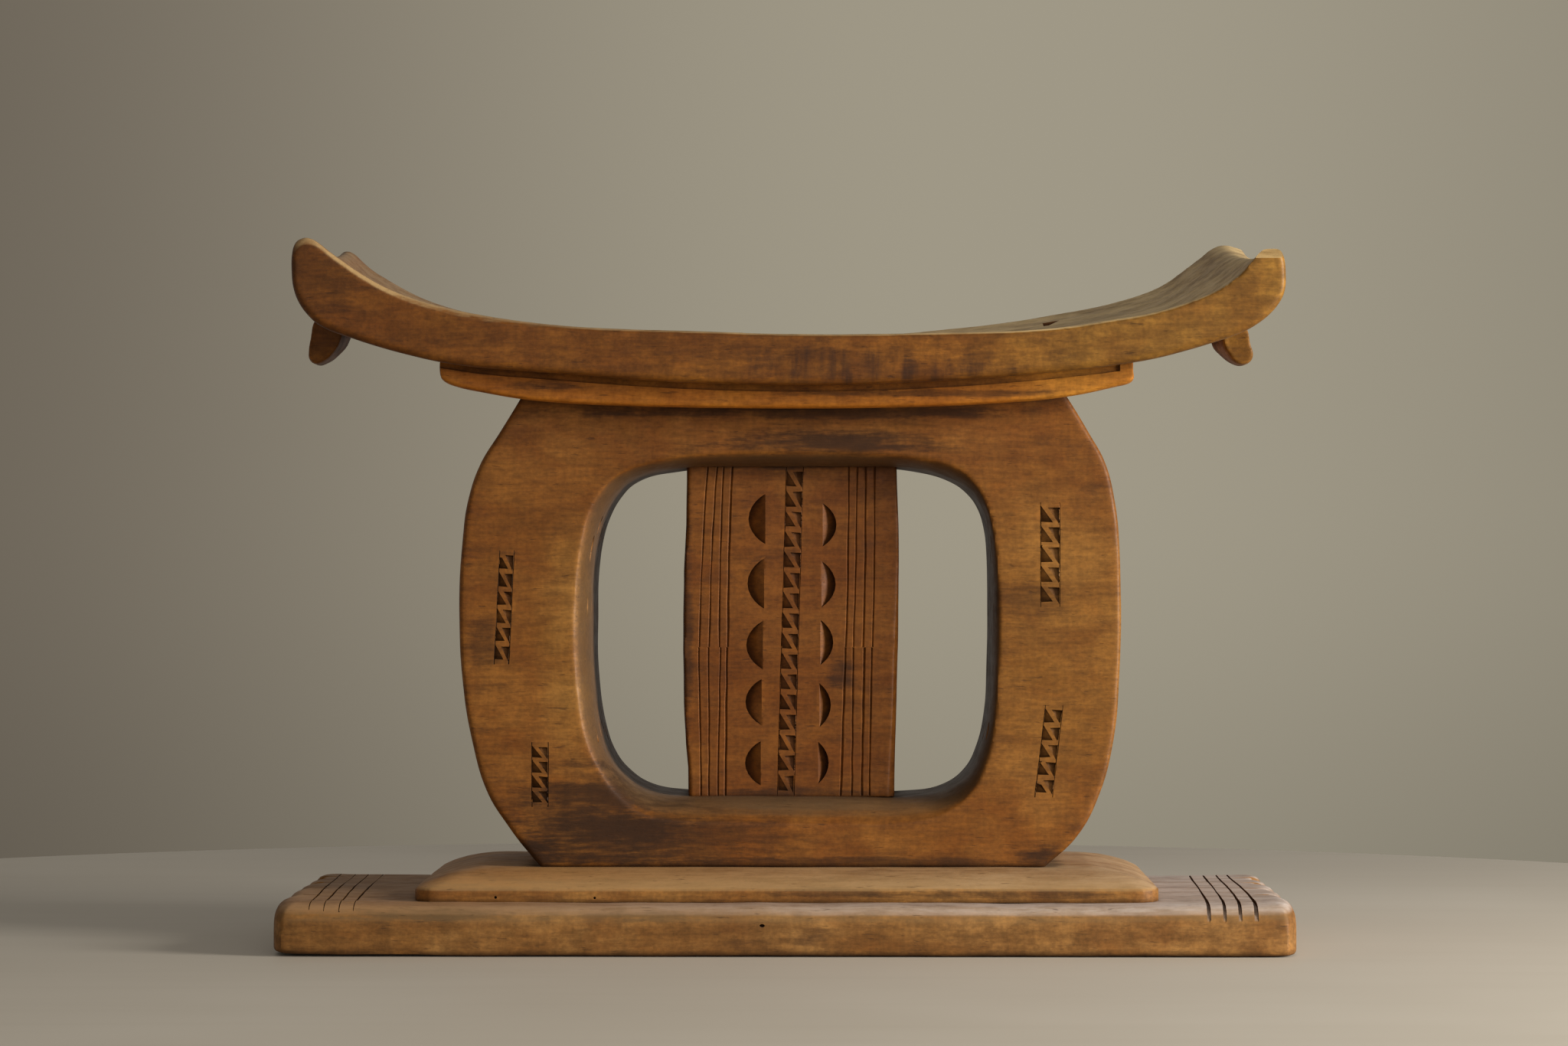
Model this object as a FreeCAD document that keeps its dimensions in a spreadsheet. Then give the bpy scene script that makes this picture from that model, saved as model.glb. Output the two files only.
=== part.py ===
"""A carved Asante stool: plank, plinth, ring with a centre panel, ledge, curved seat and two lugs.

Millimetres. +X runs along the stool to the right, +Y to the back, +Z up. The origin is on the floor,
under the middle of the base plank. The carving is done by hand on the real stool, so the left and the
right half have sizes of their own where they differ.
"""
import FreeCAD, Part
import math
import os
import re

import Sketcher

# Driving sizes: alias, value, what it is
SIZES = [
    # base plank
    ("plank_length", 500.0, "plank, end to end over the scallops"),
    ("plank_depth", 230.0, "plank, front to back"),
    ("plank_height", 25.0, "plank thickness"),
    ("plank_edge_round", 6.0, "rounding of the long top edges"),
    ("plank_scallop_bulge", 4.0, "how far a scallop stands out of its notches"),
    ("saw_groove_width", 1.6, "groove sawn across the plank"),
    ("saw_groove_sink", 2.0, "depth of the sawn grooves"),
    ("saw_groove_pitch", 7.3, "distance between sawn grooves"),
    ("saw_groove_inset", 20.5, "outermost sawn groove, in from the plank's end"),
    # plinth
    ("plinth_length", 364.0, "plinth at its foot, end to end"),
    ("plinth_depth", 190.0, "plinth at its foot, front to back"),
    ("plinth_side", 7.0, "upright side of the plinth"),
    ("plinth_rise", 8.0, "rise of the plinth's sloped edge"),
    ("plinth_slope_width", 28.0, "width of the sloped edge in plan"),
    ("plinth_corner", 12.0, "corner radius of the plinth in plan"),
    # ring
    ("ring_height", 225.4, "plinth top to the underside of the ledge, at the middle"),
    ("ring_depth", 120.0, "ring, front to back"),
    ("ring_left_reach", 162.0, "middle of the stool to the ring's left side"),
    ("ring_right_reach", 166.5, "middle of the stool to the ring's right side"),
    ("ring_top_left", 130.6, "middle of the stool to the ring's top left corner"),
    ("ring_top_right", 139.0, "middle of the stool to the ring's top right corner"),
    ("ring_foot_left", 121.3, "middle of the stool to the ring's bottom left corner"),
    ("ring_foot_right", 128.4, "middle of the stool to the ring's bottom right corner"),
    ("ring_waist_draw", 2.4, "how far the shoulder and hip lie inside the widest point"),
    # opening in the ring
    ("sill_height", 34.0, "ring's foot to the opening's floor at its waist"),
    ("lintel_height", 27.0, "opening's ceiling at its waist to the ring's top, at the middle"),
    ("opening_left_reach", 97.4, "middle of the stool to the opening's left side"),
    ("opening_right_reach", 102.0, "middle of the stool to the opening's right side"),
    ("opening_corner", 45.0, "corner radius of the opening at its waist"),
    ("flare_side", 5.0, "how far the opening widens towards each face, at the sides"),
    ("flare_floor", 11.5, "how far the opening's floor drops towards each face"),
    ("flare_ceiling", 6.5, "how far the opening's ceiling rises towards each face"),
    ("flare_corner", 57.0, "corner radius of the opening at each face"),
    # centre panel
    ("panel_width", 105.0, "panel width at its top and bottom"),
    ("panel_bulge", 2.5, "how far each side of the panel bows out"),
    ("panel_depth", 70.0, "panel, front to back"),
    ("panel_offset", 3.0, "panel's middle, right of the stool's middle"),
    # seat ledge
    ("ledge_left_reach", 169.0, "middle of the stool to the ledge's left end"),
    ("ledge_right_reach", 171.0, "middle of the stool to the ledge's right end"),
    ("ledge_depth", 180.0, "ledge, front to back"),
    ("ledge_thickness", 11.3, "ledge thickness at the middle"),
    ("ledge_sag", 12.4, "rise of the ledge's underside from the middle to its ends"),
    ("ledge_bevel", 4.5, "bevel along the ledge's lower edges"),
    # seat
    ("seat_depth", 220.0, "seat, front to back"),
    ("seat_thickness", 25.6, "seat thickness at the front edge's middle"),
    ("seat_left_reach", 239.6, "middle of the stool to the seat's left end"),
    ("seat_right_reach", 243.6, "middle of the stool to the seat's right end"),
    ("seat_bend_inset", 91.6, "seat's end to where the underside turns up"),
    ("seat_under_sag", 9.0, "rise of the underside from the middle to the bend"),
    ("seat_under_rise", 31.0, "rise of the underside from the middle to the end's corner"),
    ("seat_end_inset", 11.6, "length of the rounded corner under each end"),
    ("seat_end_corner_rise", 18.5, "height of the rounded corner under each end"),
    ("bend_left_length", 35.0, "length over which the top turns up into the left horn's slope"),
    ("bend_left_rise", 8.8, "rise of the front top edge from the middle to where it turns up"),
    ("knee_left_inset", 59.6, "seat's left end to where the horn's slope starts"),
    ("knee_left_rise", 19.0, "rise of the front top edge from the middle to there"),
    ("horn_left_rise", 47.1, "rise of the front top edge from the middle to the left horn"),
    ("bend_right_length", 42.0, "length over which the top turns up into the right horn's slope"),
    ("bend_right_rise", 5.2, "rise of the front top edge from the middle to where it turns up"),
    ("knee_right_inset", 51.6, "seat's right end to where the horn's slope starts"),
    ("knee_right_rise", 15.2, "rise of the front top edge from the middle to there"),
    ("horn_right_rise", 41.3, "rise of the front top edge from the middle to the right horn"),
    ("horn_flat", 8.0, "width of the flat top of a horn"),
    ("seat_back_rise", 8.0, "how much higher the back edge is than the front edge"),
    ("seat_back_right_rise", 18.5, "the same at the right end"),
    ("seat_dish", 6.0, "dish of the seat, front to back"),
    ("seat_lower_round", 5.0, "rounding along the seat's lower edges"),
    ("horn_round", 4.0, "rounding along the top of the seat's ends"),
    # lugs
    ("lug_width", 30.0, "lug, front to back"),
    ("lug_root", 15.5, "lug along the seat's underside"),
    ("lug_drop", 16.0, "seat's underside to the lug's tip"),
    ("lug_tip", 8.0, "width of the lug's blunt tip"),
    ("lug_lean", 6.0, "how far the tip leans outwards"),
    ("lug_inset", 4.0, "lug's outer root corner, in from the seat's end"),
    # carving on the panel and the ring
    ("score_width", 1.4, "width of a scored line on the panel"),
    ("score_sink", 1.2, "depth of a scored line on the panel"),
    ("score_pitch", 4.4, "distance between scored lines"),
    ("score_inset", 9.5, "outermost scored line, in from the panel's side"),
    ("score_margin", 6.0, "scored lines stop this far from the panel's top and bottom"),
    ("moon_height", 23.0, "height of a crescent"),
    ("moon_width", 8.0, "width of a crescent"),
    ("moon_sink", 3.0, "depth of a crescent"),
    ("moon_pitch", 30.5, "distance between crescents"),
    ("moon_gap", 11.5, "zigzag band's middle line to a crescent's straight side"),
    ("chip_sink", 2.0, "depth of the chips of the zigzag bands"),
    ("chip_ridge", 1.2, "width of the ridge left between two chips"),
    ("panel_band_width", 8.6, "width of the panel's zigzag band"),
    ("panel_band_pitch", 10.1, "height of one zig of the panel's band"),
    ("left_upper_middle", -137.9, "middle of the upper left zigzag band, at its top"),
    ("left_upper_top", 195.5, "top of the upper left zigzag band, above the floor"),
    ("left_upper_width", 7.0, "width of the upper left zigzag band"),
    ("left_upper_pitch", 9.0, "height of one zig of the upper left band"),
    ("left_lower_middle", -121.5, "middle of the lower left zigzag band, at its top"),
    ("left_lower_top", 100.5, "top of the lower left zigzag band, above the floor"),
    ("left_lower_width", 7.9, "width of the lower left zigzag band"),
    ("left_lower_pitch", 7.4, "height of one zig of the lower left band"),
    ("right_upper_middle", 131.1, "middle of the upper right zigzag band, at its top"),
    ("right_upper_top", 219.2, "top of the upper right zigzag band, above the floor"),
    ("right_upper_width", 9.2, "width of the upper right zigzag band"),
    ("right_upper_pitch", 9.85, "height of one zig of the upper right band"),
    ("right_lower_middle", 130.9, "middle of the lower right zigzag band, at its top"),
    ("right_lower_top", 119.0, "top of the lower right zigzag band, above the floor"),
    ("right_lower_width", 8.4, "width of the lower right zigzag band"),
    ("right_lower_pitch", 8.65, "height of one zig of the lower right band"),
    # clearance of cuts
    ("cut_overrun", 10.0, "how far a cut runs past the face that it leaves by"),
]

PANEL_BAND_COUNT = 16
MOON_COUNT = 5
SCORE_COUNT = 4
SAW_GROOVE_COUNT = 4
# Plank's end, from front to back: share of the depth that each scallop takes
SCALLOP_SHARES = [0.26, 0.2, 0.18, 0.18, 0.18]
SHOULDER_HEIGHT_SHARE = 0.72
WAIST_HEIGHT_SHARE = 0.55
HIP_HEIGHT_SHARE = 0.3
# How far up the ledge's own rise the ring's blank reaches before it is fitted to the ledge
RING_TOP_SHARE = 0.65

# Zigzag bands on the ring's face: how many zigs each has, and how far it leans, in degrees
RING_BAND_COUNTS = {"left_upper": 6, "left_lower": 4, "right_upper": 5, "right_lower": 5}
RING_BAND_ANGLES = {"left_upper": -2.8, "left_lower": 0, "right_upper": 0, "right_lower": -6.7}

# Two places nearer than this are the same place
SAME_PLACE = 1e-6

doc = FreeCAD.newDocument("ashanti_stool")
sheet = doc.addObject("Spreadsheet::Sheet", "sizes")


def fill_sheet():
    """Writes every driving size into the sheet, one row each."""
    for row, (alias, value, note) in enumerate(SIZES, start=1):
        sheet.set(f"A{row}", note)
        sheet.set(f"B{row}", str(value))
        sheet.setAlias(f"B{row}", alias)
    doc.recompute()


def bound(text):
    """The text with each size's name pointed at its cell."""
    return re.sub(r"\b([a-z]+(?:_[a-z]+)+)\b", r"sizes.\1", text)


def value(text):
    """What an expression of sizes comes to."""
    result = sheet.evalExpression(bound(text))
    return float(getattr(result, "Value", result))


# Heights of the stack, from the floor up
RING_FOOT = "(plank_height + plinth_side + plinth_rise)"
LEDGE_UNDER = f"({RING_FOOT} + ring_height)"
SEAT_UNDER = f"({LEDGE_UNDER} + ledge_thickness)"
SEAT_TOP = f"({SEAT_UNDER} + seat_thickness)"


def arc_middle(start, end, heading):
    """The middle of the arc that leaves start along heading and arrives at end."""
    chord = end - start
    turn = math.atan2(heading.x * chord.y - heading.y * chord.x, heading.dot(chord))
    to_right = FreeCAD.Vector(chord.y, -chord.x, 0)
    return (start + end) / 2 + to_right * (math.tan(turn / 2) / 2)


def arc_headings(start, middle, end):
    """The directions in which the arc through three points leaves and arrives."""
    centre = Part.Arc(start, middle, end).toShape().Curve.Center
    side = (middle - start).cross(end - middle).z
    leave, arrive = start - centre, end - centre
    if side > 0:
        return FreeCAD.Vector(-leave.y, leave.x, 0), FreeCAD.Vector(-arrive.y, arrive.x, 0)
    return FreeCAD.Vector(leave.y, -leave.x, 0), FreeCAD.Vector(arrive.y, -arrive.x, 0)


def new_sketch(body, name, plane="XZ_Plane", offset="0", across="0", up="0", turn=0.0):
    """A sketch on one of the body's own planes, moved out by offset and along its own two axes."""
    sketch = body.newObject("Sketcher::SketchObject", name)
    support = [o for o in body.Origin.OriginFeatures if o.Role == plane][0]
    sketch.AttachmentSupport = [(support, "")]
    sketch.MapMode = "FlatFace"
    sketch.AttachmentOffset = FreeCAD.Placement(
        FreeCAD.Vector(), FreeCAD.Rotation(FreeCAD.Vector(0, 0, 1), turn)
    )
    for axis, text in (("x", across), ("y", up), ("z", offset)):
        if text != "0":
            sketch.setExpression(f"AttachmentOffset.Base.{axis}", bound(text))
    return sketch


def hold(sketch, geo, end, place):
    """Holds one point of the sketch at a place that is written in sizes."""
    for kind, axis_line, text in (("DistanceX", -2, place[0]), ("DistanceY", -1, place[1])):
        if text == "0":
            sketch.addConstraint(Sketcher.Constraint("PointOnObject", geo, end, axis_line))
            continue
        index = sketch.addConstraint(Sketcher.Constraint(kind, -1, 1, geo, end, value(text)))
        sketch.setExpression(f"Constraints[{index}]", bound(text))


def draw(sketch, steps):
    """Draws one closed outline. Each step is (place,) for a line to the next place, (place, through) for
    an arc through a place, or (place, "after") or (place, "before") for an arc that runs on smoothly
    from the step before it or into the one that follows."""
    places = [FreeCAD.Vector(value(step[0][0]), value(step[0][1]), 0) for step in steps]
    count = len(steps)
    ends = [(places[i], places[(i + 1) % count]) for i in range(count)]
    middles = [None] * count
    headings = [None] * count

    def settle(i):
        start, end = ends[i]
        how = steps[i][1] if len(steps[i]) > 1 else None
        if how is None:
            headings[i] = (end - start, end - start)
            return
        if how == "after":
            middles[i] = arc_middle(start, end, headings[i - 1][1])
        elif how == "before":
            middles[i] = arc_middle(end, start, headings[(i + 1) % count][0] * -1)
        else:
            middles[i] = FreeCAD.Vector(value(how[0]), value(how[1]), 0)
        headings[i] = arc_headings(start, middles[i], end)

    smooth = ("after", "before")
    for i in range(count):
        if len(steps[i]) == 1 or steps[i][1] not in smooth:
            settle(i)
    for i in range(count):
        if len(steps[i]) > 1 and steps[i][1] == "after":
            settle(i)
    for i in reversed(range(count)):
        if len(steps[i]) > 1 and steps[i][1] == "before":
            settle(i)

    geos = []
    for (start, end), middle in zip(ends, middles):
        shape = Part.LineSegment(start, end) if middle is None else Part.Arc(start, middle, end)
        geo = sketch.addGeometry(shape, False)
        first = 1 if sketch.getPoint(geo, 1).distanceToPoint(start) < SAME_PLACE else 2
        geos.append((geo, first, 3 - first))
    for i, (geo, first, _) in enumerate(geos):
        before_geo, _, before_end = geos[i - 1]
        tangent = (len(steps[i]) > 1 and steps[i][1] == "after") or (
            len(steps[i - 1]) > 1 and steps[i - 1][1] == "before"
        )
        kind = "Tangent" if tangent else "Coincident"
        sketch.addConstraint(Sketcher.Constraint(kind, before_geo, before_end, geo, first))
        hold(sketch, geo, first, steps[i][0])
        if len(steps[i]) > 1 and steps[i][1] not in smooth:
            mark = sketch.addGeometry(Part.Point(middles[i]), True)
            hold(sketch, mark, 1, steps[i][1])
            sketch.addConstraint(Sketcher.Constraint("PointOnObject", mark, 1, geo))


def new_body(name):
    """A body for one member of the stool."""
    body = doc.addObject("PartDesign::Body", name)
    body.Label = name
    return body


def pad(body, sketch, length, name):
    """A pad of the sketch, to both sides of its plane."""
    feature = body.newObject("PartDesign::Pad", name)
    feature.Profile = sketch
    feature.SideType = "Symmetric"
    feature.setExpression("Length", bound(length))
    return feature


def pocket(body, sketch, depth, name):
    """A pocket of the sketch, down into the wood behind its plane. It must take wood away."""
    doc.recompute()
    volume_before = body.Shape.Volume
    feature = body.newObject("PartDesign::Pocket", name)
    feature.Profile = sketch
    feature.setExpression("Length", bound(depth))
    doc.recompute()
    if body.Shape.Volume >= volume_before:
        raise RuntimeError(f"{name} takes nothing away")
    return feature


def repeat(body, feature, axis, pitch, count, name, reverse=False):
    """The feature repeated in a straight row along an axis of its own sketch, or back along it."""
    pattern = body.newObject("PartDesign::LinearPattern", name)
    pattern.Originals = [feature]
    pattern.Direction = (feature.Profile[0], [axis])
    pattern.Mode = "Spacing"
    pattern.Occurrences = count
    pattern.setExpression("Offset", bound(pitch))
    pattern.Reversed = reverse
    body.Tip = pattern
    return pattern


def dress_edges(body, kind, feature, wanted, size, name):
    """A fillet or chamfer on those edges of the feature whose box is wanted."""
    doc.recompute()
    edges = [f"Edge{i}" for i, edge in enumerate(feature.Shape.Edges, start=1) if wanted(edge.BoundBox)]
    dressing = body.newObject(f"PartDesign::{kind}", name)
    dressing.Base = (feature, edges)
    dressing.setExpression("Radius" if kind == "Fillet" else "Size", bound(size))
    doc.recompute()


def loft(body, kind, sketches, name):
    """A loft through the sketches in turn."""
    feature = body.newObject(f"PartDesign::{kind}", name)
    feature.Profile = sketches[0]
    feature.Sections = sketches[1:]
    doc.recompute()
    return feature


def rounded_box(sketch, left, right, low, high, corner):
    """A rectangle with rounded corners, each side given as an expression of sizes."""
    near = f"{corner} * (1 - cos(45))"
    steps = [
        ((f"{left}", f"{low} + {corner}"),),
        ((f"{left}", f"{high} - {corner}"), (f"{left} + {near}", f"{high} - {near}")),
        ((f"{left} + {corner}", f"{high}"),),
        ((f"{right} - {corner}", f"{high}"), (f"{right} - {near}", f"{high} - {near}")),
        ((f"{right}", f"{high} - {corner}"),),
        ((f"{right}", f"{low} + {corner}"), (f"{right} - {near}", f"{low} + {near}")),
        ((f"{right} - {corner}", f"{low}"),),
        ((f"{left} + {corner}", f"{low}"), (f"{left} + {near}", f"{low} + {near}")),
    ]
    draw(sketch, steps)


def make_base_plank():
    """The foot plank: scalloped ends, rounded long edges, four sawn grooves across each end."""
    body = new_body("base_plank")
    outline = new_sketch(body, "plank_outline", "XY_Plane")
    notch = "(plank_length / 2 - plank_scallop_bulge)"
    steps = []
    reach = 0
    for share in SCALLOP_SHARES:
        start, middle = reach, reach + share / 2
        reach += share
        crown = ("plank_length / 2", f"plank_depth * ({middle} - 0.5)")
        steps.append(((notch, f"plank_depth * ({start} - 0.5)"), crown))
    steps.append(((notch, "plank_depth / 2"),))
    for share in reversed(SCALLOP_SHARES):
        start, middle = reach, reach - share / 2
        reach -= share
        crown = ("-plank_length / 2", f"plank_depth * ({middle} - 0.5)")
        steps.append(((f"-{notch}", f"plank_depth * ({start} - 0.5)"), crown))
    steps.append(((f"-{notch}", "-plank_depth / 2"),))
    draw(outline, steps)
    board = body.newObject("PartDesign::Pad", "plank_board")
    board.Profile = outline
    board.setExpression("Length", bound("plank_height"))

    def long_top_edge(box):
        return box.XLength > value("plank_length") / 2 and box.ZMin > value("plank_height") / 2

    dress_edges(body, "Fillet", board, long_top_edge, "plank_edge_round", "plank_rounding")

    for side, name in ((-1, "left"), (1, "right")):
        groove = new_sketch(body, f"{name}_saw_line", "XY_Plane", offset="plank_height")
        outer = f"{side} * (plank_length / 2 - saw_groove_inset)"
        half = "saw_groove_width / 2"
        back = "plank_depth / 2 + cut_overrun"
        draw(
            groove,
            [
                ((f"{outer} - {half}", f"-({back})"),),
                ((f"{outer} + {half}", f"-({back})"),),
                ((f"{outer} + {half}", back),),
                ((f"{outer} - {half}", back),),
            ],
        )
        cut = pocket(body, groove, "saw_groove_sink", f"{name}_saw_groove")
        row_name = f"{name}_saw_grooves"
        repeat(body, cut, "H_Axis", "saw_groove_pitch", SAW_GROOVE_COUNT, row_name, side > 0)
    return body


def make_plinth():
    """The plinth: a low upright side, then a long slope up to the flat top."""
    body = new_body("plinth")
    ends = ("-plinth_length / 2", "plinth_length / 2", "-plinth_depth / 2", "plinth_depth / 2")
    foot = new_sketch(body, "plinth_outline", "XY_Plane", offset="plank_height")
    rounded_box(foot, *ends, "plinth_corner")
    side = body.newObject("PartDesign::Pad", "plinth_sides")
    side.Profile = foot
    side.setExpression("Length", bound("plinth_side"))
    shoulder = new_sketch(body, "plinth_shoulder", "XY_Plane", offset="plank_height + plinth_side")
    rounded_box(shoulder, *ends, "plinth_corner")
    top = new_sketch(body, "plinth_top", "XY_Plane", offset=RING_FOOT)
    left, right, front, back = ends
    slope = "plinth_slope_width"
    sides = (f"{left} + {slope}", f"{right} - {slope}")
    rounded_box(top, *sides, f"{front} + {slope}", f"{back} - {slope}", "plinth_corner")
    loft(body, "AdditiveLoft", [shoulder, top], "plinth_slope")
    return body


def make_seat():
    """The seat: its front outline right through, then the dished hollow above it taken away."""
    body = new_body("seat")
    blank_top = f"({SEAT_TOP} + max(horn_left_rise; horn_right_rise) + seat_back_right_rise + cut_overrun)"
    corner = f"({SEAT_UNDER} + seat_under_rise)"
    wall = f"({SEAT_UNDER} + seat_under_rise + seat_end_corner_rise)"
    bend = f"{SEAT_UNDER} + seat_under_sag"
    outline = new_sketch(body, "seat_outline")
    draw(
        outline,
        [
            (("-seat_left_reach", blank_top),),
            (("-seat_left_reach", wall), "after"),
            (("-seat_left_reach + seat_end_inset", corner), "before"),
            (("-(seat_left_reach - seat_bend_inset)", bend), ("0", SEAT_UNDER)),
            (("seat_right_reach - seat_bend_inset", bend), "after"),
            (("seat_right_reach - seat_end_inset", corner), "before"),
            (("seat_right_reach", wall),),
            (("seat_right_reach", blank_top),),
        ],
    )
    blank = pad(body, outline, "seat_depth", "seat_blank")
    doc.recompute()

    def lower_edge(box):
        long_enough = box.XLength > value("seat_bend_inset") / 2
        return box.YLength < SAME_PLACE and box.ZMax < value(wall) and long_enough

    dress_edges(body, "Fillet", blank, lower_edge, "seat_lower_round", "seat_rounding")

    # The hollow's section at the front, the middle and the back of the seat
    sections = []
    half_way = "seat_depth / 2 + cut_overrun"
    for name, offset, back_share, dish in (
        ("front", half_way, 0, "0"),
        ("middle", "0", 0.5, "seat_dish"),
        ("back", f"-({half_way})", 1, "0"),
    ):
        level = f"({SEAT_TOP} - {dish} + seat_back_rise * {back_share})"
        level_right = f"({SEAT_TOP} - {dish} + seat_back_right_rise * {back_share})"
        section = new_sketch(body, f"hollow_{name}", offset=offset)
        left_end = "-(seat_left_reach + cut_overrun)"
        right_end = "seat_right_reach + cut_overrun"
        above = f"{blank_top} + cut_overrun"
        left_knee = "(seat_left_reach - knee_left_inset)"
        right_knee = "(seat_right_reach - knee_right_inset)"
        draw(
            section,
            [
                ((left_end, above),),
                ((left_end, f"{level} + horn_left_rise"),),
                (("-(seat_left_reach - horn_flat)", f"{level} + horn_left_rise"), "before"),
                ((f"-{left_knee}", f"{level} + knee_left_rise"), "before"),
                ((f"-({left_knee} - bend_left_length)", f"{level} + bend_left_rise"), ("0", level)),
                ((f"{right_knee} - bend_right_length", f"{level_right} + bend_right_rise"), "after"),
                ((right_knee, f"{level_right} + knee_right_rise"), "after"),
                (("seat_right_reach - horn_flat", f"{level_right} + horn_right_rise"),),
                ((right_end, f"{level_right} + horn_right_rise"),),
                ((right_end, above),),
            ],
        )
        sections.append(section)
    hollow = loft(body, "SubtractiveLoft", sections, "seat_hollow")

    def end_top_edge(box):
        from_left = abs(box.Center.x + value("seat_left_reach"))
        from_right = abs(box.Center.x - value("seat_right_reach"))
        at_end = min(from_left, from_right) < value("horn_round") / 2
        return at_end and box.YLength > value("seat_depth") / 2 and box.ZMin > value(wall)

    dress_edges(body, "Fillet", hollow, end_top_edge, "horn_round", "horn_rounding")
    return body


def make_seat_ledge(seat):
    """The ledge under the seat, its top fitted to the seat's underside."""
    blank = new_body("ledge_blank")
    outline = new_sketch(blank, "ledge_outline")
    top = f"{SEAT_UNDER} + seat_under_sag + seat_thickness / 2"
    end = f"{LEDGE_UNDER} + ledge_sag"
    draw(
        outline,
        [
            (("-ledge_left_reach", top),),
            (("-ledge_left_reach", end), ("0", LEDGE_UNDER)),
            (("ledge_right_reach", end),),
            (("ledge_right_reach", top),),
        ],
    )
    board = pad(blank, outline, "ledge_depth", "ledge_board")
    doc.recompute()

    def lower_edge(box):
        return box.YLength < SAME_PLACE and box.ZMin < value(LEDGE_UNDER) + value("ledge_bevel")

    dress_edges(blank, "Chamfer", board, lower_edge, "ledge_bevel", "ledge_edges")
    return fitted("seat_ledge", blank, seat)


def fitted(name, blank, neighbour):
    """The blank with its neighbour's wood taken away, so that the two meet face to face."""
    cut = doc.addObject("Part::Cut", name)
    cut.Base = blank
    cut.Tool = neighbour
    cut.Label = name
    doc.recompute()
    return cut


def make_lug(name, side, reach, seat):
    """A tapered lug under one end of the seat, leaning outwards, its root fitted to the underside."""
    blank = new_body(f"{name}_blank")
    outline = new_sketch(blank, f"{name}_outline")
    outer = f"({reach} - lug_inset)"
    root = f"({SEAT_UNDER} + seat_under_rise + seat_thickness / 4)"
    under = f"({SEAT_UNDER} + seat_under_rise)"
    tip = f"({under} - lug_drop)"
    tip_outer = f"({outer} + lug_lean)"
    tip_middle = f"({tip_outer} - lug_tip / 2)"
    tip_inner = f"({tip_outer} - lug_tip)"
    inner = f"({outer} - lug_root)"
    draw(
        outline,
        [
            ((f"{side} * {outer}", root),),
            ((f"{side} * {tip_outer}", f"{tip} + lug_tip / 2"), (f"{side} * {tip_middle}", tip)),
            ((f"{side} * {tip_inner}", f"{tip} + lug_tip / 4"),),
            ((f"{side} * {inner}", under),),
            ((f"{side} * {inner}", root),),
        ],
    )
    pad(blank, outline, "lug_width", f"{name}_tongue")
    doc.recompute()
    return fitted(name, blank, seat)


def opening_outline(sketch, side, floor, ceiling, corner):
    """The opening's outline at one depth, wider than the waist by the given amounts."""
    rounded_box(
        sketch,
        f"(-opening_left_reach - {side})",
        f"(opening_right_reach + {side})",
        f"({RING_FOOT} + sill_height - {floor})",
        f"({LEDGE_UNDER} - lintel_height + {ceiling})",
        corner,
    )


def make_ring(ledge):
    """The upright ring with its opening, which flares towards both faces, and the carved bands."""
    blank = new_body("ring_blank")
    outline = new_sketch(blank, "ring_outline")
    top = f"({LEDGE_UNDER} + ledge_sag * {RING_TOP_SHARE})"
    shoulder, waist, hip = (
        f"({RING_FOOT} + ring_height * {share})"
        for share in (SHOULDER_HEIGHT_SHARE, WAIST_HEIGHT_SHARE, HIP_HEIGHT_SHARE)
    )
    left_draw = "-(ring_left_reach - ring_waist_draw)"
    right_draw = "ring_right_reach - ring_waist_draw"
    draw(
        outline,
        [
            (("-ring_top_left", top), "before"),
            ((left_draw, shoulder), ("-ring_left_reach", waist)),
            ((left_draw, hip), "after"),
            (("-ring_foot_left", RING_FOOT),),
            (("ring_foot_right", RING_FOOT), "before"),
            ((right_draw, hip), ("ring_right_reach", waist)),
            ((right_draw, shoulder), "after"),
            (("ring_top_right", top),),
        ],
    )
    pad(blank, outline, "ring_depth", "ring_block")
    doc.recompute()

    waist = new_sketch(blank, "opening_waist", offset="ring_depth / 2")
    opening_outline(waist, "0", "0", "0", "opening_corner")
    pocket(blank, waist, "ring_depth", "opening")
    for name, side in (("front", 1), ("back", -1)):
        seat_of_flare = new_sketch(blank, f"{name}_flare_foot", offset=f"{side} * panel_depth / 2")
        opening_outline(seat_of_flare, "0", "0", "0", "opening_corner")
        mouth = new_sketch(blank, f"{name}_flare_mouth", offset=f"{side} * ring_depth / 2")
        opening_outline(mouth, "flare_side", "flare_floor", "flare_ceiling", "flare_corner")
        loft(blank, "SubtractiveLoft", [seat_of_flare, mouth], f"{name}_flare")

    for name, count in RING_BAND_COUNTS.items():
        place = (f"{name}_middle", f"{name}_top")
        size = (f"{name}_width", f"{name}_pitch")
        carve_band(blank, f"{name}_band", *place, *size, count, RING_BAND_ANGLES[name], "ring_depth / 2")
    return fitted("ring", blank, ledge)


def carve_band(body, name, middle, top, width, pitch, count, lean, face):
    """A zigzag band: in each zig, two triangular chips leave a slanting ridge between them."""
    chips = new_sketch(body, f"{name}_chips", offset=face, across=middle, up=top, turn=lean)
    near = "chip_ridge / 4"
    left_chip = [(f"-{width} / 2", "-chip_ridge"), (f"-{width} / 2", f"-{pitch}"), (f"-{near}", f"-{pitch}")]
    right_chip = [(f"{width} / 2", f"-{pitch} + chip_ridge"), (f"{width} / 2", "0"), (near, "0")]
    for corners in (left_chip, right_chip):
        draw(chips, [(corner,) for corner in corners])
    cut = pocket(body, chips, "chip_sink", f"{name}_zig")
    repeat(body, cut, "V_Axis", pitch, count, f"{name}_zigs", True)


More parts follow.
